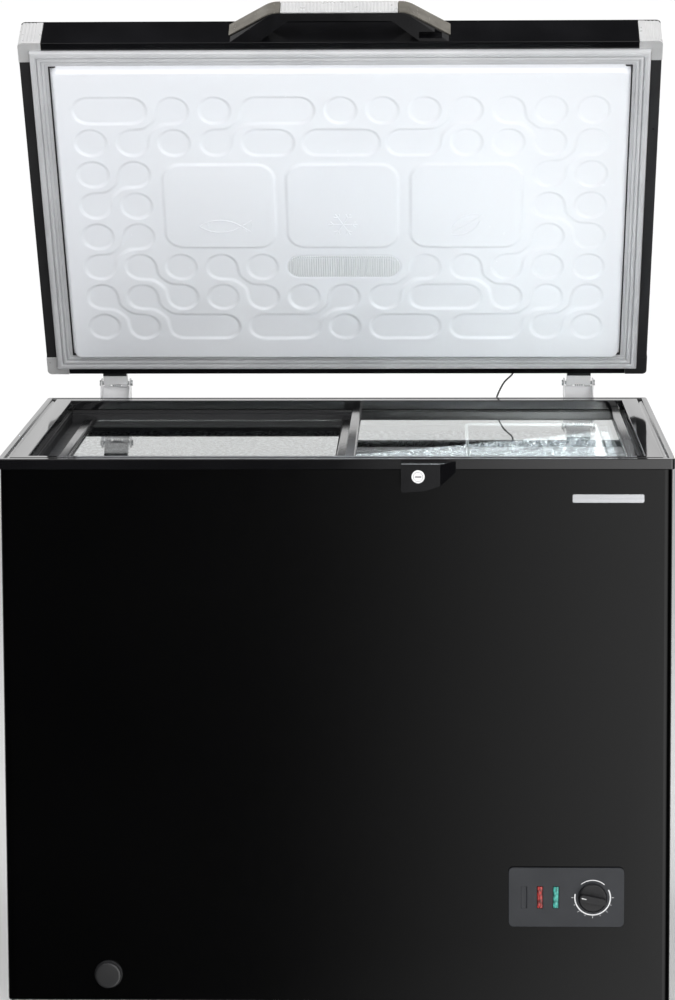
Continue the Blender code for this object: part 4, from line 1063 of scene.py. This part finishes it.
def lamp_cable():
    """The lamp's lead from the lid's rear edge into the cabinet's back, with its sleeve."""
    lid_x, sleeve_top = 0.262, 0.772
    entry = Vector((0.231, CASE_HIGH.y + 0.0018, 0.752))
    leave = CLOSED_TO_REST @ Vector((lid_x, LID_REAR + 0.0001, LID_Z + 0.012))
    past = CLOSED_TO_REST @ Vector((lid_x, LID_REAR + 0.009, LID_Z + 0.010))
    path = smooth_path([
        entry, entry + Vector((0, 0.0062, 0.0015)), (0.231, RIM_HIGH.y + 0.0085, 0.765),
        (0.236, RIM_HIGH.y + 0.0100, RIM_HIGH.z - 0.0050),
        (0.248, RIM_HIGH.y + 0.0160, RIM_HIGH.z + 0.0200), past, leave,
    ], 8)
    cable = piece("lamp_lead", tube("lamp_lead", path, 0.0013, 12), "black_rubber", None,
                  60)
    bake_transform(cable)
    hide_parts("lamp_cable")
    sleeve = [p for p in path if p.z < sleeve_top]
    piece("lead_sleeve", tube("lead_sleeve", sleeve, 0.0021, 12), "clear_sleeve", "cabinet",
          60)


def lock_face():
    """The key slot, a flat dark piece that paints the shade of the keyhole, and the fine ring on the barrel's
    face.
    """
    ring_outer, ring_inner = 0.0066, 0.0062
    middle = (BARREL_LOW + BARREL_HIGH) / 2
    front, back = BARREL_LOW.y - 0.00006, BARREL_LOW.y + 0.0006
    # painted shade: the keyhole is a flat dark slot laid just in front of the barrel's face
    slot = prism("slot", [
        (middle.x + u, middle.z + v)
        for u, v in round_box((-0.0044, -0.0008), (0.0044, 0.0008), 0.0007, 4)
    ], front, back, "y")
    centre = (middle.x, middle.z)
    pieces = [slot]
    for start in (0, 180):
        pieces.append(prism(
            "ring", arc(centre, ring_outer, start, start + 180, 16)
            + arc(centre, ring_inner, start + 180, start, 16), front, back, "y",
        ))
    piece("lock_face", joined("lock_face", pieces), "satin_black", "lock", 30)


def knob_pointer():
    """A white line on the knob's grip."""
    turn = math.radians(-78)
    line = prism("knob_pointer", round_box((-0.0006, 0.0095), (0.0006, 0.0165), 0.0005, 3),
                 KNOB_LOW.y - 0.0001, KNOB_LOW.y + 0.0005, "y")
    line.transform(Matrix.Translation(Vector((KNOB_CENTRE[0], 0, KNOB_CENTRE[1])))
                   @ Matrix.Rotation(turn, 4, "Y"))
    piece("knob_pointer", line, "print_white", "knob", 30)


def studio():
    """Pale floor, bright backdrop light, soft boxes and the camera."""
    inner = ("camera", "transmission")
    scene = bpy.context.scene
    scene.view_settings.view_transform = "Standard"
    floor_mesh = bpy.data.meshes.new("floor")
    reach = 4.5
    floor_mesh.from_pydata(
        [(-reach, -reach, 0), (reach, -reach, 0), (reach, reach, 0), (-reach, reach, 0)], [],
        [(0, 1, 2, 3)],
    )
    floor_mesh.materials.append(FINISHES["floor_grey"])
    floor = bpy.data.objects.new("floor", floor_mesh)
    floor.location.z = -0.0002
    scene.collection.objects.link(floor)
    floor.visible_glossy = False

    world = bpy.data.worlds.new("studio")
    world.use_nodes = True
    scene.world = world
    tree = world.node_tree
    sky = tree.nodes.new("ShaderNodeTexCoord")
    parts = tree.nodes.new("ShaderNodeSeparateXYZ")
    tree.links.new(sky.outputs["Generated"], parts.inputs[0])

    def spread(axis, start, end, low, high):
        """A value that runs from low to high with one direction of the sky."""
        made = tree.nodes.new("ShaderNodeMapRange")
        for socket, value in zip(("From Min", "From Max", "To Min", "To Max"),
                                 (start, end, low, high)):
            made.inputs[socket].default_value = value
        tree.links.new(parts.outputs[axis], made.inputs["Value"])
        return made.outputs["Result"]

    def combined(operation, one, other):
        made = tree.nodes.new("ShaderNodeMath")
        made.operation = operation
        tree.links.new(one, made.inputs[0])
        tree.links.new(other, made.inputs[1])
        return made.outputs["Value"]

    backdrop = spread("Y", 0.45, 0.75, 0.02, 1.02)
    right_front = combined(
        "MULTIPLY", spread("X", -0.03, 0.13, 0.0, 2.1), spread("Y", -0.5, -0.8, 0.0, 1.0),
    )
    strength = combined("ADD", backdrop, right_front)
    tree.links.new(strength, tree.nodes["Background"].inputs["Strength"])
    tree.nodes["Background"].inputs["Color"].default_value = (1, 1, 1, 1)

    beam = BASKET_HIGH.z - 0.080
    front = -0.2400
    for name, place, target, size, power, hidden in (
        ("key", (-1.4, -3.8, 3.0), (0, 0.1, 1.1), (2.8, 1.6), 46.0, ()),
        ("fill", (1.9, -3.8, 2.2), (0, 0.1, 1.0), (2.4, 1.8), 20.0, ()),
        ("front", (0.2, -4.6, 1.1), (0, 0, 0.8), (2.4, 1.4), 20.0, ("glossy",)),
        ("floor_wash", (0.0, -0.6, 3.6), (0, -0.6, 0), (4.0, 3.0), 120.0, ("glossy",)),
        ("tub_left", (-0.20, front, beam), (-0.20, 0.25, beam + 0.01), (0.36, 0.10), 8.0, inner),
        ("tub_right", (0.20, front, beam), (0.20, 0.25, beam + 0.01), (0.36, 0.10), 8.0, inner),
    ):
        light = bpy.data.lights.new(name, "AREA")
        light.shape = "RECTANGLE"
        light.size, light.size_y = size
        light.energy = power
        lamp = bpy.data.objects.new(name, light)
        lamp.location = place
        lamp.rotation_euler = (Vector(target) - Vector(place)).to_track_quat("-Z", "Y").to_euler()
        for rays in hidden:
            setattr(lamp, "visible_" + rays, False)
        scene.collection.objects.link(lamp)

    camera_data = bpy.data.cameras.new("camera")
    camera_data.sensor_fit = "AUTO"
    camera_data.sensor_width = 36.0
    camera_data.lens = 118.5
    camera_data.shift_y = -0.2
    camera = bpy.data.objects.new("camera", camera_data)
    yaw, pitch, roll = math.radians(-1.617), math.radians(6.255), math.radians(-0.265)
    camera.matrix_world = (
        Matrix.Translation((0.132, -4.8515, 1.5145)) @ Matrix.Rotation(-yaw, 4, "Z")
        @ Matrix.Rotation(math.pi / 2 - pitch, 4, "X") @ Matrix.Rotation(roll, 4, "Z")
    )
    scene.collection.objects.link(camera)
    scene.camera = camera


# ------------ build
SLOT_FINISH = {
    "zinc_steel": "zinc", "foam": "foam_yellow", "tub_aluminium": "stucco_aluminium",
    "copper_tube": "copper", "gloss_plastic_black": "gloss_black",
    "black_plastic": "satin_black", "compressor_paint": "satin_black",
    "panel_plastic": "panel_grey", "knob_plastic": "satin_black",
    "dark_grey_plastic": "dark_grey", "white_plastic": "white_liner", "glass": "clear_glass",
    "silver_plastic": "silver", "lamp_lens": "lens_grey", "gasket_rubber": "gasket_grey",
}
OWN_FINISH = {"rim_frame": "rim_gloss", "insulation_foam": "foam_painted_shade"}


def finish_of(node):
    """A node's own finish, its slot's, or the one with the slot's name."""
    slot = SLOTS[node]
    return OWN_FINISH.get(node, SLOT_FINISH.get(slot, slot))


for node, obj in frame["nodes"].items():
    obj.data.materials.clear()
    obj.data.materials.append(FINISHES[finish_of(node)])

REFINED = {
    "outer_case": 0.0004, "rear_panel": 0.0003, "rim_frame": 0.0012, "inner_liner": 0.0015,
    "track_frame": 0.0005, "glass_left_pane": 0.0006, "glass_right_pane": 0.0006,
    "glass_left_left_strip": 0.0012, "glass_left_right_strip": 0.0012,
    "glass_right_left_strip": 0.0012, "glass_right_right_strip": 0.0012,
    "lock_housing": 0.0015, "lock_barrel": 0.0003, "control_panel": 0.0008, "lamp_red": 0.0008,
    "lamp_green": 0.0008, "thermostat_knob": 0.0005, "drain_cap": 0.0004, "drain_socket": 0.0005,
    "side_grille": 0.0003, "rear_cover": 0.0005, "cable_gland": 0.0005, "hinge_base_left": 0.0006,
    "hinge_base_right": 0.0006, "hinge_arm_left": 0.0006, "hinge_arm_right": 0.0006,
    "lid_edge_front": 0.0012, "lid_edge_rear": 0.0004, "lid_edge_left": 0.0004,
    "lid_edge_right": 0.0004, "lid_top_skin": 0.0004, "handle_body": 0.0020,
    "foot_front_left": 0.0010, "foot_front_right": 0.0010, "foot_rear_left": 0.0010,
    "foot_rear_right": 0.0010, "base_pan": 0.0002,
}
for node, width in REFINED.items():
    refined(node, finish_of(node), width)

lid_liner()
lid_core()
lid_gasket()
gap_shadow_lip()
hinge_leaves()
corner_caps()
handle_trim()
lamp_lens()
pictograms()
basket_wires()
panel_marks()
badge()
screws()
lamp_cable()
lock_face()
knob_pointer()
studio()
